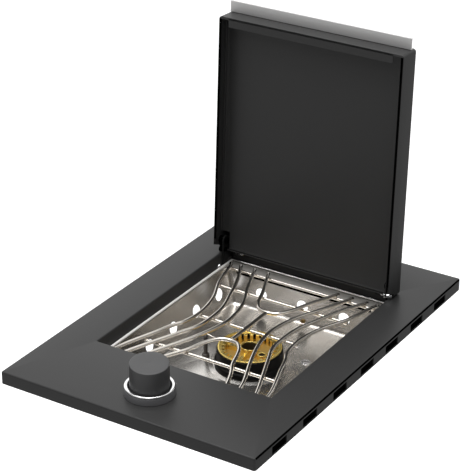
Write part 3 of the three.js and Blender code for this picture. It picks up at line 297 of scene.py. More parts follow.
def box_ring(half, front, rear, radius, z, inset=0.0, steps=8):
    """Points round a rectangle with rounded corners, drawn in by an inset."""
    round_ = max(radius - inset, TIGHTEST_CORNER)
    side, back, near = half - inset - round_, rear - inset - round_, front + inset + round_
    return [at(x + round_ * math.cos((corner + step / steps) * QUARTER),
               y + round_ * math.sin((corner + step / steps) * QUARTER), z)
            for corner, (x, y) in enumerate([(side, back), (-side, back), (-side, near), (side, near)])
            for step in range(steps + 1)]


def fold(radius, top, steps=7):
    """A quarter fold from an upright wall to a flat face, as pairs of inset and height."""
    return [(radius * (1 - math.cos(i / steps * QUARTER)), top - radius * (1 - math.sin(i / steps * QUARTER)))
            for i in range(steps + 1)]


def panel_ring(inset, z):
    return box_ring(PANEL_HALF, 0, PANEL_DEPTH, PANEL_CORNER, z, inset)


def opening_ring(inset, z):
    return box_ring(OPENING_HALF, OPENING_FRONT, OPENING_REAR, OPENING_CORNER, z, inset)


def notch(side, share):
    middle = share * PANEL_DEPTH
    return side_slab(side, NOTCH_XS, (middle - NOTCH_LENGTH / 2, middle + NOTCH_LENGTH / 2), (NOTCH_LOW, NOTCH_TOP))


satin_black = powder_coat("satin_black_coat", (0.028, 0.028, 0.028), 0.40, glint=0.22)
# Near black with no gloss: painted shade, on the rails, the baffle, the fold line, the lid's hems, the pivot studs and
# the left stop bolt.
shade_black = powder_coat("painted_shade_black", (0.001, 0.001, 0.001), 0.9, glint=0.0)
# The rails and the baffle take the painted shade black, so the notches and the slot read dark.
for rail in ("side_rail_right", "side_rail_left", "slot_baffle"):
    smoothed(rail, shade_black, "frame", "black_paint")
panel_fold = fold(2.2, 0)
panel_rings = [panel_ring(0, -SKIRT)] + [panel_ring(inset, z) for inset, z in panel_fold]
panel_rings += [opening_ring(-inset, z) for inset, z in panel_fold[::-1]]
panel_rings += [opening_ring(0, -FLANGE), opening_ring(-SHEET, -FLANGE), opening_ring(-SHEET, -SHEET)]
panel_rings += [panel_ring(SHEET, -SHEET), panel_ring(SHEET, -SKIRT)]
notches = [notch(side, share) for share in NOTCH_SHARES for _, side in HANDS]
tap_hole = skin([[at(TAP_HOLE * math.cos(i * math.pi / 24), TAP_Y + TAP_HOLE * math.sin(i * math.pi / 24), z)
                  for i in range(48)] for z in (-6, 6)])
finished("trim_panel_dressed", cut(skin(panel_rings, closed=True), joined(*notches, tap_hole)), satin_black, "frame",
         "black_paint", "trim_panel", sharp=30)
# A thin near black line along the side and rear folds is painted shade; its front part is cut away.
painted = panel_fold[:6]
edge_line = [panel_ring(inset - LINE_ABOVE, z + LINE_ABOVE) for inset, z in painted]
edge_line += [panel_ring(inset + LINE_BELOW, z - LINE_BELOW) for inset, z in painted[::-1]]
front_end = slab((-180, 180), (-6, 2.4), (-6, 6))
finished("panel_fold_paint", cut(skin(edge_line, closed=True), front_end), shade_black, "frame", "black_paint",
         sharp=30)

# Pan: pressed stainless sheet with a brushed face, the grain along its length. The floor has a raised round seat
# for the burner, and air vents and a long slot are punched in its walls. Rolled beads run along the side and rear
# ledges and above the slot; the rear ledge's own face is dulled.
PAN_HALF, PAN_FRONT, PAN_REAR, PAN_CORNER, PAN_SHEET = 114.5, 138, 389.8, 11, 0.8
LEDGE, FLOOR, FLOOR_FOLD, RIM, RIM_HEIGHT = -20.05, -68.05, 5, -1.55, 11
SIDE_DRAFT, END_DRAFT = 10, 0.8
BURNER_Y, SEAT_RADIUS, SEAT, SEAT_HOLE = 264.5, 49, -66.05, 12.6
VENT_RADIUS, VENT_REACH, VENT_Z, REAR_VENT_Z = 8, 14, LEDGE - 27.5, LEDGE - 24.8
VENT_SHARES, REAR_VENT_XS = (0.072, 0.278, 0.485, 0.691, 0.898), (-60.5, 0, 60.5)
SLOT_HALF, SLOT_LOW, SLOT_TOP = 98, LEDGE - 5.5, LEDGE - 1.3
REAR_WELT_Y, REAR_WELT_HALF, SIDE_WELT_X, SIDE_WELT_ENDS, SLOT_LIP_HALF = 409.2, 118.2, 116.7, (119, 408.4), 104
WELT, SLOT_LIP, BEAD_END = 1.5, 1.05, 0.4
POST_X, POST_Y, POST_HOLE = -57.7, 255, 2.8


def brushed(name, colour, roughness, along, depth=0.12, haze=0.10, contrast=0.10, bare=1.0):
    """Bright metal with a fine grain along one axis and uneven gloss; less bare where it is dulled or coated."""
    metal = bpy.data.materials.new(name)
    metal.use_nodes = True
    tree = metal.node_tree
    face = tree.nodes["Principled BSDF"]
    face.inputs["Metallic"].default_value = bare
    place = node_of(tree, "ShaderNodeTexCoord")
    stretch = node_of(tree, "ShaderNodeMapping")
    stretch.inputs["Scale"].default_value = [60 if axis == along else 2600 for axis in "xyz"]
    grain = node_of(tree, "ShaderNodeTexNoise", Scale=1.0, Detail=4.0)
    smear = node_of(tree, "ShaderNodeTexNoise", Scale=14.0, Detail=3.0)
    gloss = node_of(tree, "ShaderNodeMapRange")
    gloss.inputs["To Min"].default_value = roughness - haze
    gloss.inputs["To Max"].default_value = roughness + haze
    tint = node_of(tree, "ShaderNodeMixRGB")
    tint.inputs["Color1"].default_value = (*[c * (1 - contrast) for c in colour], 1)
    tint.inputs["Color2"].default_value = (*colour, 1)
    bump = node_of(tree, "ShaderNodeBump", Strength=depth, Distance=0.0001)
    link = tree.links.new
    link(place.outputs["Object"], stretch.inputs["Vector"])
    link(stretch.outputs["Vector"], grain.inputs["Vector"])
    link(place.outputs["Object"], smear.inputs["Vector"])
    link(smear.outputs["Fac"], gloss.inputs["Value"])
    link(grain.outputs["Fac"], tint.inputs["Fac"])
    link(tint.outputs["Color"], face.inputs["Base Color"])
    link(gloss.outputs["Result"], face.inputs["Roughness"])
    link(grain.outputs["Fac"], bump.inputs["Height"])
    link(bump.outputs["Normal"], face.inputs["Normal"])
    return metal


def socket_of(tree, name):
    return next(item.identifier for item in tree.interface.items_tree if item.name == name)


def repeat_tree():
    """Sets one shape at every point of a mesh, turned by the point's own turn, and gives it its metal."""
    tree = bpy.data.node_groups.new("one_at_each_place", "GeometryNodeTree")
    face = tree.interface
    face.new_socket("Places", in_out="INPUT", socket_type="NodeSocketGeometry")
    face.new_socket("Shape", in_out="INPUT", socket_type="NodeSocketObject")
    face.new_socket("Metal", in_out="INPUT", socket_type="NodeSocketMaterial")
    face.new_socket("Pieces", in_out="OUTPUT", socket_type="NodeSocketGeometry")
    start, end = tree.nodes.new("NodeGroupInput"), tree.nodes.new("NodeGroupOutput")
    shape = tree.nodes.new("GeometryNodeObjectInfo")
    turned = tree.nodes.new("GeometryNodeInputNamedAttribute")
    turned.data_type = "FLOAT_VECTOR"
    turned.inputs["Name"].default_value = "turn"
    setting = tree.nodes.new("GeometryNodeInstanceOnPoints")
    whole = tree.nodes.new("GeometryNodeRealizeInstances")
    metal = tree.nodes.new("GeometryNodeSetMaterial")
    link = tree.links.new
    link(start.outputs["Places"], setting.inputs["Points"])
    link(start.outputs["Shape"], shape.inputs["Object"])
    link(shape.outputs["Geometry"], setting.inputs["Instance"])
    link(turned.outputs["Attribute"], setting.inputs["Rotation"])
    link(setting.outputs["Instances"], whole.inputs["Geometry"])
    link(whole.outputs["Geometry"], metal.inputs["Geometry"])
    link(start.outputs["Metal"], metal.inputs["Material"])
    link(metal.outputs["Geometry"], end.inputs["Pieces"])
    return tree


one_at_each_place = repeat_tree()


def repeated(shape, places, metal=None):
    """A mesh of one shape set at places, each a point and three turns in degrees; a punch has no metal."""
    spots = bpy.data.meshes.new("spots")
    spots.from_pydata([tuple(spot) for spot, _ in places], [], [])
    turns = spots.attributes.new("turn", "FLOAT_VECTOR", "POINT")
    turns.data.foreach_set("vector", [math.radians(angle) for _, angles in places for angle in angles])
    holder, pattern = on_bench(spots), on_bench(shape)
    row = holder.modifiers.new("row", "NODES")
    row.node_group = one_at_each_place
    row[socket_of(one_at_each_place, "Shape")] = pattern
    row[socket_of(one_at_each_place, "Metal")] = metal
    return made_plain(holder, pattern)


def rounded(points, radius, closed=False, steps=4):
    """A line of pairs with its corners rounded, as far as the lengths beside each corner allow."""
    line = []
    for i, here in enumerate(points):
        if not closed and i in (0, len(points) - 1):
            line.append(tuple(here))
            continue
        before, after, here = Vector(points[i - 1]), Vector(points[(i + 1) % len(points)]), Vector(here)
        reach = min(radius, (before - here).length * 0.45, (after - here).length * 0.45)
        start, end = here + (before - here).normalized() * reach, here + (after - here).normalized() * reach
        for step in range(steps + 1):
            t = step / steps
            line.append(tuple(start * (1 - t) ** 2 + here * 2 * t * (1 - t) + end * t ** 2))
    return line


def lathe(profile, sides=48, closed=False):
    """Pairs of radius and height in millimetres, turned about the upright axis through the origin."""
    return skin([[Vector((radius * MM * math.cos(side / sides * math.tau),
                          radius * MM * math.sin(side / sides * math.tau), height * MM)) for side in range(sides)]
                 for radius, height in profile], closed)


def set_at(mesh, spot):
    mesh.transform(Matrix.Translation(spot))
    return mesh


def pan_ring(inset, z):
    return box_ring(PAN_HALF, PAN_FRONT, PAN_REAR, PAN_CORNER, z, inset)


def low_ring(inset, z):
    return box_ring(PAN_HALF - SIDE_DRAFT, PAN_FRONT + END_DRAFT, PAN_REAR - END_DRAFT, PAN_CORNER, z, inset)


def round_ring(radius, z):
    return box_ring(radius, BURNER_Y - radius, BURNER_Y + radius, radius - TIGHTEST_CORNER, z)


def floor_fold(radius, steps=9):
    """The curve from the pan's wall down to its floor, as pairs of inset and height."""
    return [(radius * (1 - math.cos(i / steps * QUARTER)),
             FLOOR + FLOOR_FOLD - radius * math.sin(i / steps * QUARTER)) for i in range(steps + 1)]


def bead(place, ends, radius=WELT):
    """A rolled bead; place gives a point of it from how far along, across and up that point is."""
    section = [(radius * math.cos(i / 16 * math.tau), radius * math.sin(i / 16 * math.tau)) for i in range(16)]
    return skin([[place(along, across, up) for across, up in section]
                 for along in (ends[0], ends[0] + BEAD_END, ends[1] - BEAD_END, ends[1])])


seat_line = [(SEAT_RADIUS + 1.5, FLOOR), (SEAT_RADIUS + 0.5, FLOOR + 0.15), (SEAT_RADIUS - 4, SEAT - 0.15),
             (SEAT_RADIUS - 5, SEAT), (SEAT_HOLE, SEAT), (SEAT_HOLE, SEAT - PAN_SHEET),
             (SEAT_RADIUS - 2.6, SEAT - PAN_SHEET), (SEAT_RADIUS - 0.4, FLOOR - PAN_SHEET)]
pan_rings = [opening_ring(RIM, LEDGE + RIM_HEIGHT), opening_ring(RIM, LEDGE)]
pan_rings += [pan_ring(-inset, z) for inset, z in fold(1.2, LEDGE)[::-1]]
pan_rings += [low_ring(inset, z) for inset, z in floor_fold(FLOOR_FOLD)]
pan_rings += [round_ring(radius, z) for radius, z in seat_line]
pan_rings += [low_ring(inset - PAN_SHEET, z) for inset, z in floor_fold(FLOOR_FOLD + PAN_SHEET)[::-1]]
pan_rings += [pan_ring(-PAN_SHEET, LEDGE - 1.2), pan_ring(-1.2, LEDGE - PAN_SHEET)]
pan_rings += [opening_ring(RIM - PAN_SHEET, LEDGE - PAN_SHEET), opening_ring(RIM - PAN_SHEET, LEDGE + RIM_HEIGHT)]
punch = lathe([(VENT_RADIUS, -VENT_REACH), (VENT_RADIUS, VENT_REACH)], 40)
vent_spots = [(at(side * PAN_HALF, PAN_FRONT + share * (PAN_REAR - PAN_FRONT), VENT_Z), (0, 90, 0))
              for share in VENT_SHARES for _, side in HANDS]
vent_spots += [(at(x, PAN_REAR, REAR_VENT_Z), (90, 0, 0)) for x in REAR_VENT_XS]
slot_hole = slab((-SLOT_HALF, SLOT_HALF), (PAN_REAR - 6, PAN_REAR + 6), (SLOT_LOW, SLOT_TOP))
post_hole = set_at(lathe([(POST_HOLE, -6), (POST_HOLE, 6)], 24), at(POST_X, POST_Y, FLOOR))
pan_steel = brushed("pan_steel", (0.76, 0.735, 0.70), 0.24, "y", 0.01, 0.02, 0.02)
finished("basin_dressed", cut(skin(pan_rings, closed=True), joined(repeated(punch, vent_spots), slot_hole, post_hole)),
         pan_steel, "frame", "brushed_steel", "basin", sharp=40)
dulled_ledge = brushed("dulled_ledge", (0.52, 0.50, 0.47), 0.45, "x", 0.05, 0.04, 0.30, 0.5)
finished("rear_ledge_face", slab((-114, 114), (391.4, 407.8), (LEDGE + 0.02, LEDGE + 0.3)), dulled_ledge, "frame",
         "brushed_steel")
# Near white and mostly not bare, on the side beads and the slot's lip: a painted highlight.
painted_highlight_edge = brushed("painted_highlight_edge", (0.99, 0.98, 0.97), 0.4, "y", 0.02, 0.04, 0.02, 0.1)
rubbed_edge = brushed("rubbed_edge", (1.0, 0.99, 0.98), 0.22, "x", 0.02, 0.03, 0.02)
rear_welt = bead(lambda x, across, up: at(x, REAR_WELT_Y + across, LEDGE + 1.9 + up), (-REAR_WELT_HALF, REAR_WELT_HALF))
finished("rear_ledge_welt", rear_welt, rubbed_edge, "frame", "brushed_steel")
slot_lip = bead(lambda x, across, up: at(x, PAN_REAR + 0.4 + across, LEDGE - 0.5 + up),
                (-SLOT_LIP_HALF, SLOT_LIP_HALF), SLOT_LIP)
finished("slot_lip", slot_lip, painted_highlight_edge, "frame", "brushed_steel")
for hand, side in HANDS:
    side_welt = bead(lambda y, across, up: at(side * (SIDE_WELT_X + across), y, LEDGE + 1.2 + up), SIDE_WELT_ENDS)
    finished("side_ledge_welt_" + hand, side_welt, painted_highlight_edge, "frame", "brushed_steel")

# Small fixings on the pan: two slotted pan-head screws on round washers hold the brace below the floor, two
# domed rivets sit beside them, and one brass screw sits on the rear wall. All are turned or headed from wire.
SCREW_X, SCREW_Y, RIVET_X, RIVET_Y, WALL_SCREW_X, WALL_SCREW_Z = 54.6, 306, 25, 336, 2, -65.5
WASHER, WASHER_HOLE, WASHER_SHEET = 6.9, 5.2, 0.7
zinc = brushed("zinc_plate", (0.86, 0.86, 0.87), 0.26, "z", 0.03)
tap_brass = brushed("turned_brass", (0.72, 0.54, 0.24), 0.30, "z", 0.05)
dark_brass = brushed("dark_brass", (0.30, 0.20, 0.08), 0.35, "z", 0.05)


def bar(size, middle):
    """A plain bar about a middle, both in millimetres."""
    mesh = bpy.data.meshes.new("bar")
    build = bmesh.new()
    bmesh.ops.create_cube(build, size=1)
    for corner in build.verts:
        corner.co = Vector([centre + share * length for centre, share, length in zip(middle, corner.co, size)]) * MM
    build.to_mesh(mesh)
    build.free()
    return mesh


def slotted_head(radius, height, slot, shank, length, sides=32):
    """A domed head on its shank, its seat at the origin and its slot cut across."""
    top = [(radius, height * 0.45), (radius * 0.93, height * 0.78), (radius * 0.72, height * 0.95),
           (radius * 0.4, height), (0.02, height)]
    screw = lathe([(0.02, -length), (shank, -length), (shank, 0), (radius * 0.97, 0), *top], sides)
    return cut(screw, bar((radius * 3, slot, height * 0.9), (0, 0, height)))


def fixing(node, head, spot, turns, metal):
    """One screw or bolt in place of its node."""
    finished(node + "_dressed", repeated(head, [(spot, turns)], metal), metal, "frame", "zinc_steel", node)


washer = lathe(rounded([(WASHER_HOLE, 0), (WASHER, 0), (WASHER, WASHER_SHEET), (WASHER_HOLE, WASHER_SHEET)], 0.3,
                       closed=True), 40, closed=True)
floor_spots = {"right": (at(SCREW_X, SCREW_Y, FLOOR + 0.05), (0, 0, 25)),
               "left": (at(-SCREW_X, SCREW_Y, FLOOR + 0.05), (0, 0, -40))}
for hand, spot in floor_spots.items():
    fixing("floor_screw_" + hand, slotted_head(5, 2.2, slot=0.9, shank=1.8, length=7), *spot, zinc)
finished("floor_washers", repeated(washer, list(floor_spots.values()), zinc), zinc, "frame", "zinc_steel")
rivet = lathe([(0.02, -1.6), (1.9, -1.6), (1.9, 0), (3.3, 0), (3.3, 0.3), (2.9, 1.0), (1.8, 1.6), (0.02, 1.8)], 28)
finished("brace_rivets", repeated(rivet, [(at(side * RIVET_X, RIVET_Y, FLOOR + 0.02), (0, 0, 0)) for _, side in HANDS],
                                  zinc), zinc, "frame", "zinc_steel")
wall_screw = slotted_head(3.4, 2.0, slot=0.8, shank=1.5, length=4)
wall_spot = at(WALL_SCREW_X, PAN_REAR - 1.2, WALL_SCREW_Z)
finished("rear_wall_screw", repeated(wall_screw, [(wall_spot, (90, 30, 0))], dark_brass), dark_brass, "frame",
         "tap_brass")
smoothed("floor_brace", zinc, "frame", "zinc_steel", 25)

# Burner: a black enamelled cast bowl on a wide foot, and a loose brass head on its rim. The head is one casting:
# an outer rim with 26 gas slots behind it, a sunk floor browned by heat, four spokes, a bored boss and an open
# centre tube. The slots and the bore are dark inside by painted shade: a black ring behind and below the slots and
# a black plug in the bore. The tube is lined dark brown inside.
BURNER, BURNER_TOP, RIM_EDGE, GAS_SLOTS = 39.2, -42, -1.4, 26
BOWL_LOW, BOWL_TOP, WELL = SEAT + 0.05, BURNER_TOP - 1.85, BURNER_TOP - 11
BOSS_REACH, BOSS_TURN, SPOKE_REACH, SPOKE_TURN, SPOKE_WIDENING = 20.5, -0.22, 20.9, 0.08, 1.6
enamel_and_painted_shade = powder_coat("black_enamel_and_painted_shade", (0.002, 0.002, 0.002), 0.45, 0.2, 0.15, 900.0, 0.12)
burner_brass = brushed("cast_brass", (1.0, 0.76, 0.24), 0.16, "z", 0.03, 0.03, 0.05, 0.8)
middle = at(0, BURNER_Y, 0)
bowl_line = rounded([(36.7, BOWL_TOP), (40.6, BOWL_TOP), (40.6, BOWL_LOW + 7.5), (43.5, BOWL_LOW + 6),
                     (43.5, BOWL_LOW), (10.8, BOWL_LOW), (10.8, BOWL_LOW - 6), (9, BOWL_LOW - 6), (9, BOWL_LOW + 5),
                     (31.7, BOWL_LOW + 5), (36.7, BOWL_LOW + 10)], 1.1, closed=True)
finished("burner_bowl_dressed", set_at(lathe(bowl_line, 96, closed=True), middle), enamel_and_painted_shade, "frame", "cast_iron",
         "burner_bowl")
head_line = rounded([(0.05, WELL), (9.9, WELL), (9.9, BURNER_TOP + 0.5), (11.5, BURNER_TOP + 0.5), (11.5, WELL),
                     (30, WELL), (30, BURNER_TOP + RIM_EDGE), (36, BURNER_TOP + RIM_EDGE), (36, BURNER_TOP),
                     (BURNER, BURNER_TOP), (BURNER, BURNER_TOP - 1.8), (36.4, BURNER_TOP - 1.8),
                     (36.4, WELL - 1.8), (0.05, WELL - 1.8)], 0.5)
# A black ring seen through the gas slots: painted shade.
slot_shade = lathe([(30.2, WELL + 4), (34.2, WELL + 4), (34.2, BURNER_TOP - 2), (34.0, BURNER_TOP - 2),
                    (34.0, WELL + 4.3), (30.2, WELL + 4.3)], 78, closed=True)
finished("gas_slot_shade", set_at(slot_shade, middle), enamel_and_painted_shade, "burner_head", "cast_iron")
gas_slot = bar((10.4, 3.4, 32.4), (29.2, 0, BURNER_TOP + 6))
slots = repeated(gas_slot, [((0, 0, 0), (0, 0, tooth * 360 / GAS_SLOTS)) for tooth in range(GAS_SLOTS)])
head = cut(lathe(head_line, 156), slots)
# A dark brown lining inside the centre tube, darker than the brass.
tube_lining = powder_coat("dark_brown_lining", (0.050, 0.034, 0.014), 0.6, 0.1, 0.3, glint=0.2)
tube_bottom = lathe([(0.02, WELL + 0.1), (9.85, WELL + 0.1), (9.85, BURNER_TOP - 1), (9.75, BURNER_TOP - 1),
                     (9.7, WELL + 0.6), (0.02, WELL + 0.6)], 48)
finished("centre_tube_inside", set_at(tube_bottom, middle), tube_lining, "burner_head", "burner_brass")
well_bottom = lathe([(11.6, WELL + 0.05), (29.9, WELL + 0.05), (29.9, WELL + 0.25), (11.6, WELL + 0.25)], 60,
                    closed=True)
heated_brass = brushed("heated_brass", (0.62, 0.42, 0.13), 0.4, "z", 0.05, 0.06, 0.3, 0.7)
finished("well_bottom", set_at(well_bottom, middle), heated_brass, "burner_head", "burner_brass")
boss_spot = Vector((BOSS_REACH * math.cos(BOSS_TURN), BOSS_REACH * math.sin(BOSS_TURN), 0)) * MM
# A black plug in the boss's bore: painted shade.
bore_shade = lathe([(0.02, WELL), (3.55, WELL), (3.55, WELL + 6.6), (0.02, WELL + 6.6)], 24)
finished("bore_shade", set_at(bore_shade, middle + boss_spot), enamel_and_painted_shade, "burner_head", "cast_iron")
boss_line = rounded([(3.6, WELL - 1), (6, WELL - 1), (6, WELL + 8), (3.6, WELL + 8)], 0.6, closed=True)
boss = set_at(lathe(boss_line, 40, closed=True), boss_spot)
spoke = lathe([(0.02, -10.3), (2.9, -10.3), (2.9, 10.3), (0.02, 10.3)], 4)
spoke.transform(Matrix.Diagonal((SPOKE_WIDENING, 1.0, 1.0, 1.0)) @ Matrix.Rotation(math.radians(45), 4, "Z"))
spoke_spots = [(Vector((SPOKE_REACH * math.cos(a), SPOKE_REACH * math.sin(a), WELL + 3)) * MM,
                (0, 90, math.degrees(a))) for a in (SPOKE_TURN + i * QUARTER for i in range(4))]
finished("burner_head_dressed", set_at(joined(head, boss, repeated(spoke, spoke_spots, burner_brass)), middle),
         burner_brass, "burner_head", "burner_brass", "burner_head")

# Gas train below the pan: a plated steel mixing tube with an air shutter, a brass jet, a bent supply tube, the tap,
# and the inlet pipe along the right side with its brass hose fitting. None of it shows from above.
for name in ("mixing_tube", "air_shutter", "supply_tube", "inlet_pipe", "pipe_clip", "igniter_clip"):
    smoothed(name, zinc, "frame", "zinc_steel", 50)
for name in ("injector", "outlet_nut", "inlet_nut", "tap_body", "inlet_nipple"):
    smoothed(name, tap_brass, "frame", "tap_brass")

# Igniter: a dark glazed ceramic post through the pan's floor. Its lead runs below the pan from a moulded push
# module under the panel. The bent wire tip on the post is in the grate's section, with the other bright wire.
glaze = powder_coat("glazed_ceramic", (0.045, 0.038, 0.033), 0.24, 0.1)
post_line = rounded([(0.02, -80), (2.5, -80), (2.5, FLOOR + 0.05), (4.6, FLOOR + 0.05), (4.6, FLOOR + 2.45),
                     (2.5, FLOOR + 3.1), (2.5, -40.4), (0.02, -40.4)], 0.6)
finished("igniter_post_dressed", set_at(lathe(post_line, 40), at(POST_X, POST_Y, 0)), glaze, "frame", "ceramic",
         "igniter_post")
moulded = powder_coat("black_moulding", (0.055, 0.055, 0.056), 0.42, 0.08, glint=0.35)
smoothed("ignition_module", moulded, "frame", "knob_plastic")
smoothed("ignition_lead", moulded, "frame", "lead_rubber", 60)

# Grate: bright drawn stainless wire, nearly 5 mm thick, bent in flat bows and welded to cross wires below. The
# igniter's tip and the tap's return spring are of the same bright wire; the spring shortens as the knob is pushed.
GRATE_HALF, GRATE_FRONT, GRATE_REAR = 107, 126, 391
WIRE, CROSS_WIRE, CROSS_Z = 2.4, 2.0, -18.0
LONG_Z = CROSS_Z + CROSS_WIRE + WIRE + 0.05
wire_steel = brushed("drawn_wire", (0.76, 0.72, 0.66), 0.14, "y", 0.03, 0.04, 0.06)
smoothed("igniter_tip", wire_steel, "frame", "steel_wire", 60)
spring = smoothed("return_spring", wire_steel, "frame", "steel_wire", 60)
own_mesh(spring)


def wire_tree():
    """Sweeps a round section along a drawn line, closes the ends and sets the metal."""
    tree = bpy.data.node_groups.new("drawn_wire", "GeometryNodeTree")
    face = tree.interface
    face.new_socket("Line", in_out="INPUT", socket_type="NodeSocketGeometry")
    face.new_socket("Wire radius", in_out="INPUT", socket_type="NodeSocketFloat")
    face.new_socket("Metal", in_out="INPUT", socket_type="NodeSocketMaterial")
    face.new_socket("Wire", in_out="OUTPUT", socket_type="NodeSocketGeometry")
    start, end = tree.nodes.new("NodeGroupInput"), tree.nodes.new("NodeGroupOutput")
    section = tree.nodes.new("GeometryNodeCurvePrimitiveCircle")
    section.inputs["Resolution"].default_value = 16
    sweep = tree.nodes.new("GeometryNodeCurveToMesh")
    sweep.inputs["Fill Caps"].default_value = True
    smooth = tree.nodes.new("GeometryNodeSetShadeSmooth")
    whole = tree.nodes.new("GeometryNodeRealizeInstances")
    metal = tree.nodes.new("GeometryNodeSetMaterial")
    link = tree.links.new
    link(start.outputs["Wire radius"], section.inputs["Radius"])
    link(start.outputs["Line"], sweep.inputs["Curve"])
    link(section.outputs["Curve"], sweep.inputs["Profile Curve"])
    link(sweep.outputs["Mesh"], smooth.inputs["Geometry"])
    link(smooth.outputs["Geometry"], whole.inputs["Geometry"])
    link(whole.outputs["Geometry"], metal.inputs["Geometry"])
    link(start.outputs["Metal"], metal.inputs["Material"])
    link(metal.outputs["Geometry"], end.inputs["Wire"])
    return tree


drawn_wire = wire_tree()


def wire(name, points, radius):
    """One wire of the grate along its points, in place of its node."""
    line = bpy.data.curves.new(name + "_line", "CURVE")
    line.dimensions = "3D"
    path = line.splines.new("POLY")
    path.points.add(len(points) - 1)
    for spot, point in zip(path.points, points):
        spot.co = (*point, 1)
    holder = on_bench(line)
    made = holder.modifiers.new("drawn wire", "NODES")
    made.node_group = drawn_wire
    made[socket_of(drawn_wire, "Wire radius")] = radius * MM
    made[socket_of(drawn_wire, "Metal")] = wire_steel
    finished(name + "_dressed", made_plain(holder), wire_steel, "grate", "steel_wire", name, sharp=60)


def bowed(points, steps=8):
    """A smooth line through points, spaced as the square root of their distance."""
    ends = [points[0] * 2 - points[1], *points, points[-1] * 2 - points[-2]]
    line = []
    for a, b, c, d in zip(ends, ends[1:], ends[2:], ends[3:]):
        t0 = 0.0
        t1 = t0 + (b - a).length ** 0.5
        t2 = t1 + (c - b).length ** 0.5
        t3 = t2 + (d - c).length ** 0.5
        for step in range(steps):
            t = t1 + (t2 - t1) * step / steps
            ab = a * ((t1 - t) / (t1 - t0)) + b * ((t - t0) / (t1 - t0))
            bc = b * ((t2 - t) / (t2 - t1)) + c * ((t - t1) / (t2 - t1))
            cd = c * ((t3 - t) / (t3 - t2)) + d * ((t - t2) / (t3 - t2))
            abc = ab * ((t2 - t) / (t2 - t0)) + bc * ((t - t0) / (t2 - t0))
            bcd = bc * ((t3 - t) / (t3 - t1)) + cd * ((t - t1) / (t3 - t1))
            line.append(abc * ((t2 - t) / (t2 - t1)) + bcd * ((t - t1) / (t2 - t1)))
    return line + [points[-1]]


# Points of the bows and loops, and ends of the cross wires: shares of the half width and of the depth.
bows = {
    "outer_wire": [(1.0, 1), (0.972, 0.981), (0.867, 0.808), (0.712, 0.66), (0.651, 0.543), (0.646, 0.468),
                   (0.68, 0.385), (0.738, 0.336), (0.813, 0.241), (0.962, 0.061), (0.985, -0.011)],
    "middle_wire": [(0.858, 1), (0.701, 0.864), (0.575, 0.713), (0.491, 0.6), (0.469, 0.475), (0.488, 0.389),
                    (0.565, 0.309), (0.841, 0.026), (0.866, -0.011)],
    "inner_wire": [(0.666, 1), (0.486, 0.814), (0.336, 0.676), (0.273, 0.547), (0.285, 0.446), (0.344, 0.347),
                   (0.436, 0.241), (0.607, 0.071), (0.664, -0.011)],
}
loops = {
    "rear_loop": [(0.479, 1), (0.311, 0.845), (0.19, 0.72), (0.112, 0.68), (0, 0.668)],
    "front_loop": [(0.505, -0.011), (0.443, 0.06), (0.386, 0.114), (0.3, 0.18), (0.235, 0.262), (0.192, 0.304),
                   (0.148, 0.332), (0.098, 0.351), (0, 0.36)],
}
cross_wires = [(1.0, 0.0), (0.85, 0.183), (0.645, 0.506), (0.87, 0.802), (1.0, 0.983)]


def grate_spot(share, side, z=LONG_Z):
    return at(side * share[0] * GRATE_HALF, GRATE_FRONT + share[1] * (GRATE_REAR - GRATE_FRONT), z)


for name, shares in bows.items():
    for hand, side in HANDS:
        wire(f"{name}_{hand}", bowed([grate_spot(share, side) for share in shares]), WIRE)
for name, shares in loops.items():
    there = [grate_spot(share, 1) for share in shares]
    wire(name, bowed(there + [grate_spot(share, -1) for share in shares[-2::-1]]), WIRE)
rod_ends = [grate_spot(loops[name][-1], 1) for name in ("front_loop", "rear_loop")]
rod_ends[0].y += (WIRE + 0.05) * MM
rod_ends[1].y -= (WIRE + 0.05) * MM
wire("centre_rod", rod_ends, WIRE)
for row, share in enumerate(cross_wires, 1):
    wire(f"cross_wire_{row}", [grate_spot(share, side, CROSS_Z) for side in (-1, 1)], CROSS_WIRE)

# Knob and its bezel: a moulded knob with a crisp edge round its top face, which slants a little to the front
# right, in a grey metallic cup with a polished ring on its lip. It is keyed on the tap's stem, and pushed to turn.
KNOB, KNOB_TOP, KNOB_INSIDE, KNOB_SLANT, SLANT_FROM = 23.1, 38.9, 20.7, 0.088, 34
CUP, CUP_INSIDE, CUP_HEIGHT, RING_TOP = 29.4, 25.1, 8, 11
tap_spot = at(0, TAP_Y, 0)
knob_line = rounded([(KNOB_INSIDE, 6), (KNOB, 6), (22.6, 38.2), (22, 38.7), (18, KNOB_TOP), (0.02, KNOB_TOP),
                     (0.02, 30), (KNOB_INSIDE, 30)], 0.7, closed=True, steps=6)
knob_skin = lathe(knob_line, 96, closed=True)
for corner in knob_skin.vertices:
    if corner.co.z > SLANT_FROM * MM:
        corner.co.z += KNOB_SLANT * (corner.co.y * math.cos(VIEW_TURN) - corner.co.x * math.sin(VIEW_TURN))
knob_boss = lathe([(3.3, 9), (8, 9), (8, 31), (3.3, 31)], 32, closed=True)
finished("knob_dressed", set_at(joined(knob_skin, knob_boss), tap_spot), moulded, "knob", "knob_plastic", "knob")
cup_grey = powder_coat("grey_metallic", (0.14, 0.14, 0.145), 0.34, 0.05)
cup_line = rounded([(TAP_HOLE, 0.05), (CUP, 0.05), (28.9, CUP_HEIGHT), (CUP_INSIDE, CUP_HEIGHT), (CUP_INSIDE, 1.5),
                    (TAP_HOLE, 1.5)], 0.5, closed=True)
finished("bezel_body_dressed", set_at(lathe(cup_line, 96, closed=True), tap_spot), cup_grey, "frame", "bezel_paint",
         "bezel_body")
polish = brushed("polished_ring", (0.95, 0.95, 0.95), 0.09, "z", 0.01, 0.02, 0.02)
ring_line = rounded([(24.8, CUP_HEIGHT + 0.05), (29, CUP_HEIGHT + 0.05), (29, RING_TOP), (24.8, RING_TOP)], 1.6,
                    closed=True, steps=6)
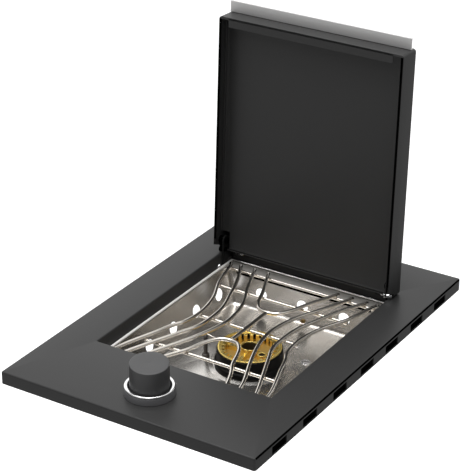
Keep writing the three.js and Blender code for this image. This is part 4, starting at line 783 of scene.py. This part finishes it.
finished("bezel_ring_dressed", set_at(lathe(ring_line, 96, closed=True), tap_spot), polish, "frame", "chrome",
         "bezel_ring")
smoothed("tap_stem", tap_brass, "knob", "tap_brass")
smoothed("thrust_washer", zinc, "tap_push", "zinc_steel")

# Lid: a folded shell with turned-in hems, and an inner tray spot welded in it, both powder coated; the hems' outer
# faces are coloured near black with no gloss as painted shade. A brushed strip along its front edge is the handle.
# All of it is drawn shut about the hinge pins, then turned open.
PIVOT_Y, PIVOT_Z, LID_OPEN = 394, 15.5, math.radians(92.8)
LID_HALF, LID_FRONT, LID_REAR, LID_CORNER, LIP, LID_TOP = 125.9, -300.8, 14.4, 4, -15, 18.2
TRAY_HALF, TRAY_REAR, TRAY_CORNER, TRAY_FACE = 124.6, 12, 2.7, LIP + 18.6
STRIP_HALF, BELOW_LID, BEHIND_LID = 123.4, -21, 20
opened = Matrix.Translation(at(0, PIVOT_Y, PIVOT_Z)) @ Matrix.Rotation(-LID_OPEN, 4, "X")
to_hinge = Matrix.Translation(-at(0, 0, 0))


def lid_place(mesh):
    """Turns a mesh that is drawn about the hinge pins to where the open lid is."""
    mesh.transform(opened @ to_hinge)
    return mesh


def lid_ring(inset, z):
    return box_ring(LID_HALF, LID_FRONT, LID_REAR, LID_CORNER, z, inset)


def tray_ring(inset, z):
    return box_ring(TRAY_HALF, LID_FRONT + 1.3, TRAY_REAR, TRAY_CORNER, z, inset)


lid_black = powder_coat("lid_black_coat", (0.030, 0.030, 0.030), 0.46, glint=0.25)
shell = [lid_ring(inset, z) for inset, z in fold(3, LID_TOP)[::-1]]
shell += [lid_ring(0, LIP + 0.4), lid_ring(0.4, LIP), lid_ring(3.1, LIP), lid_ring(3.1, LIP + 1), lid_ring(1, LIP + 1)]
shell += [lid_ring(1 + inset, z) for inset, z in fold(2, LID_TOP - 1)]
corner_shape = [(2.5, BELOW_LID), (2.5, LIP), (8.5, -0.5), (14.4, 1), (BEHIND_LID, 1), (BEHIND_LID, BELOW_LID)]
corner_tool = skin([[at(x, y, z) for y, z in corner_shape] for x in (-132, 132)])
rear_tool = slab((-115, 115), (2.5, BEHIND_LID), (BELOW_LID, 2))
hem_tools = joined(*[side_slab(side, (118.9, 124.9), (-9.5, BEHIND_LID), (BELOW_LID, LIP + 1.3))
                     for _, side in HANDS])
slot_tools = joined(*[side_slab(side, (115, 121.5), (13.1, BEHIND_LID), (BELOW_LID, LID_TOP - 3))
                      for _, side in HANDS])
band = slab((-112, 112), (LID_FRONT + 0.5, LID_FRONT + 12), (LIP, LIP + 1))
shell_mesh = cut(skin(shell), corner_tool, rear_tool, hem_tools, slot_tools)
finished("lid_shell_dressed", lid_place(joined(shell_mesh, band)), lid_black, "lid", "black_paint", "lid_shell",
         sharp=30)
for hand, side in HANDS:
    # The hems' faces get the near black of painted shade.
    hem_face = side_slab(side, (122.4, 125.4), (LID_FRONT + 3, -6), (LIP - 0.06, LIP + 0.3))
    finished("hem_paint_" + hand, lid_place(hem_face), shade_black, "lid", "black_paint")
tray_line = [(1.0, 1), (0.3, 0.7), (0, 0), (0, -4.3), (0.2, -4.5), (0.8, -4.5), (1.0, -4.3), (1.0, -0.8), (1.3, -0.2),
             (1.9, 0)]
ear_tools = joined(*[side_slab(side, (113.2, 131), (-10.8, 13.5), (-18, 11)) for _, side in HANDS])
tray_rear_tool = slab((-131, 131), (7.5, 18), (-18, TRAY_FACE - 0.9))
tray = cut(skin([tray_ring(inset, TRAY_FACE + up) for inset, up in tray_line]), ear_tools, tray_rear_tool)
finished("lid_liner_dressed", lid_place(tray), lid_black, "lid", "black_paint", "lid_liner", sharp=30)
strip_steel = brushed("strip_steel", (0.70, 0.695, 0.69), 0.62, "x", 0.05, 0.05, 0.05, 0.85)
strip_line = rounded([(-301.1, 7), (-301.1, 13.6), (-302.2, 13.6), (-302.2, 9.2), (-315.5, 9.2), (-315.5, 7)], 0.7,
                     closed=True)
strip = skin([[at(x, y, z) for y, z in strip_line] for x in (-STRIP_HALF, STRIP_HALF)])
finished("handle_strip_dressed", lid_place(strip), strip_steel, "lid", "brushed_steel", "handle_strip", sharp=30)

# Hinges: folded brackets screwed to the rear flange, painted black and coloured darker than the panel's coat as
# painted shade. Each carries a shouldered stud that the lid turns on and a slotted bolt that stops the open lid;
# the studs and the left bolt are near black with no gloss as painted shade. The flanges hold the pan by screws.
# Four tiny bright spots lie along the foot of the left one.
STOP_FACE, STOP_TIP, STOP_Y, STOP_Z = 118.35, 124.5, 391, 3.8
FOOT_X, FOOT_Y, FOOT_Z = 102, 410.1, -6
FLANGE_SCREW_X, FLANGE_SCREW_Y, FLANGE_SCREW_Z = 118.65, 380, -16
PIP_SHARE, PIP_Y, PIP_SPOTS = 0.28, 409.9, ((-120.3, -7.6), (-115.7, -8.5), (-111.2, -8.0), (-106.8, -9.2))
# Darker than the panel's coat: painted shade on the brackets.
bracket_painted_shade = powder_coat("bracket_painted_shade_coat", (0.008, 0.008, 0.008), 0.5, glint=0.2)
for hand, side in HANDS:
    smoothed("hinge_bracket_" + hand, bracket_painted_shade, "frame", "black_paint", 25)
    # The studs, and the left stop bolt below, take the near black of painted shade.
    smoothed("pivot_stud_" + hand, shade_black, "lid", "zinc_steel")
    fixing("stop_bolt_" + hand, slotted_head(3.45, STOP_TIP - STOP_FACE, slot=0.9, shank=2.6, length=3.65),
           at(side * STOP_FACE, STOP_Y, STOP_Z), (0, side * 90, 20), zinc if side == 1 else shade_black)
    fixing("foot_screw_" + hand, slotted_head(2.9, 2.2, slot=0.8, shank=1.8, length=7),
           at(side * FOOT_X, FOOT_Y, FOOT_Z), (90, 35, 0), zinc)
    fixing("flange_screw_" + hand, slotted_head(3.2, 2.2, slot=0.9, shank=1.8, length=7),
           at(side * FLANGE_SCREW_X, FLANGE_SCREW_Y, FLANGE_SCREW_Z), (0, -side * 90, 30), zinc)
pip = rivet.copy()
pip.transform(Matrix.Scale(PIP_SHARE, 4))
finished("left_foot_pips", repeated(pip, [(at(x, PIP_Y, z), (90, 0, 0)) for x, z in PIP_SPOTS], zinc), zinc, "frame",
         "zinc_steel")
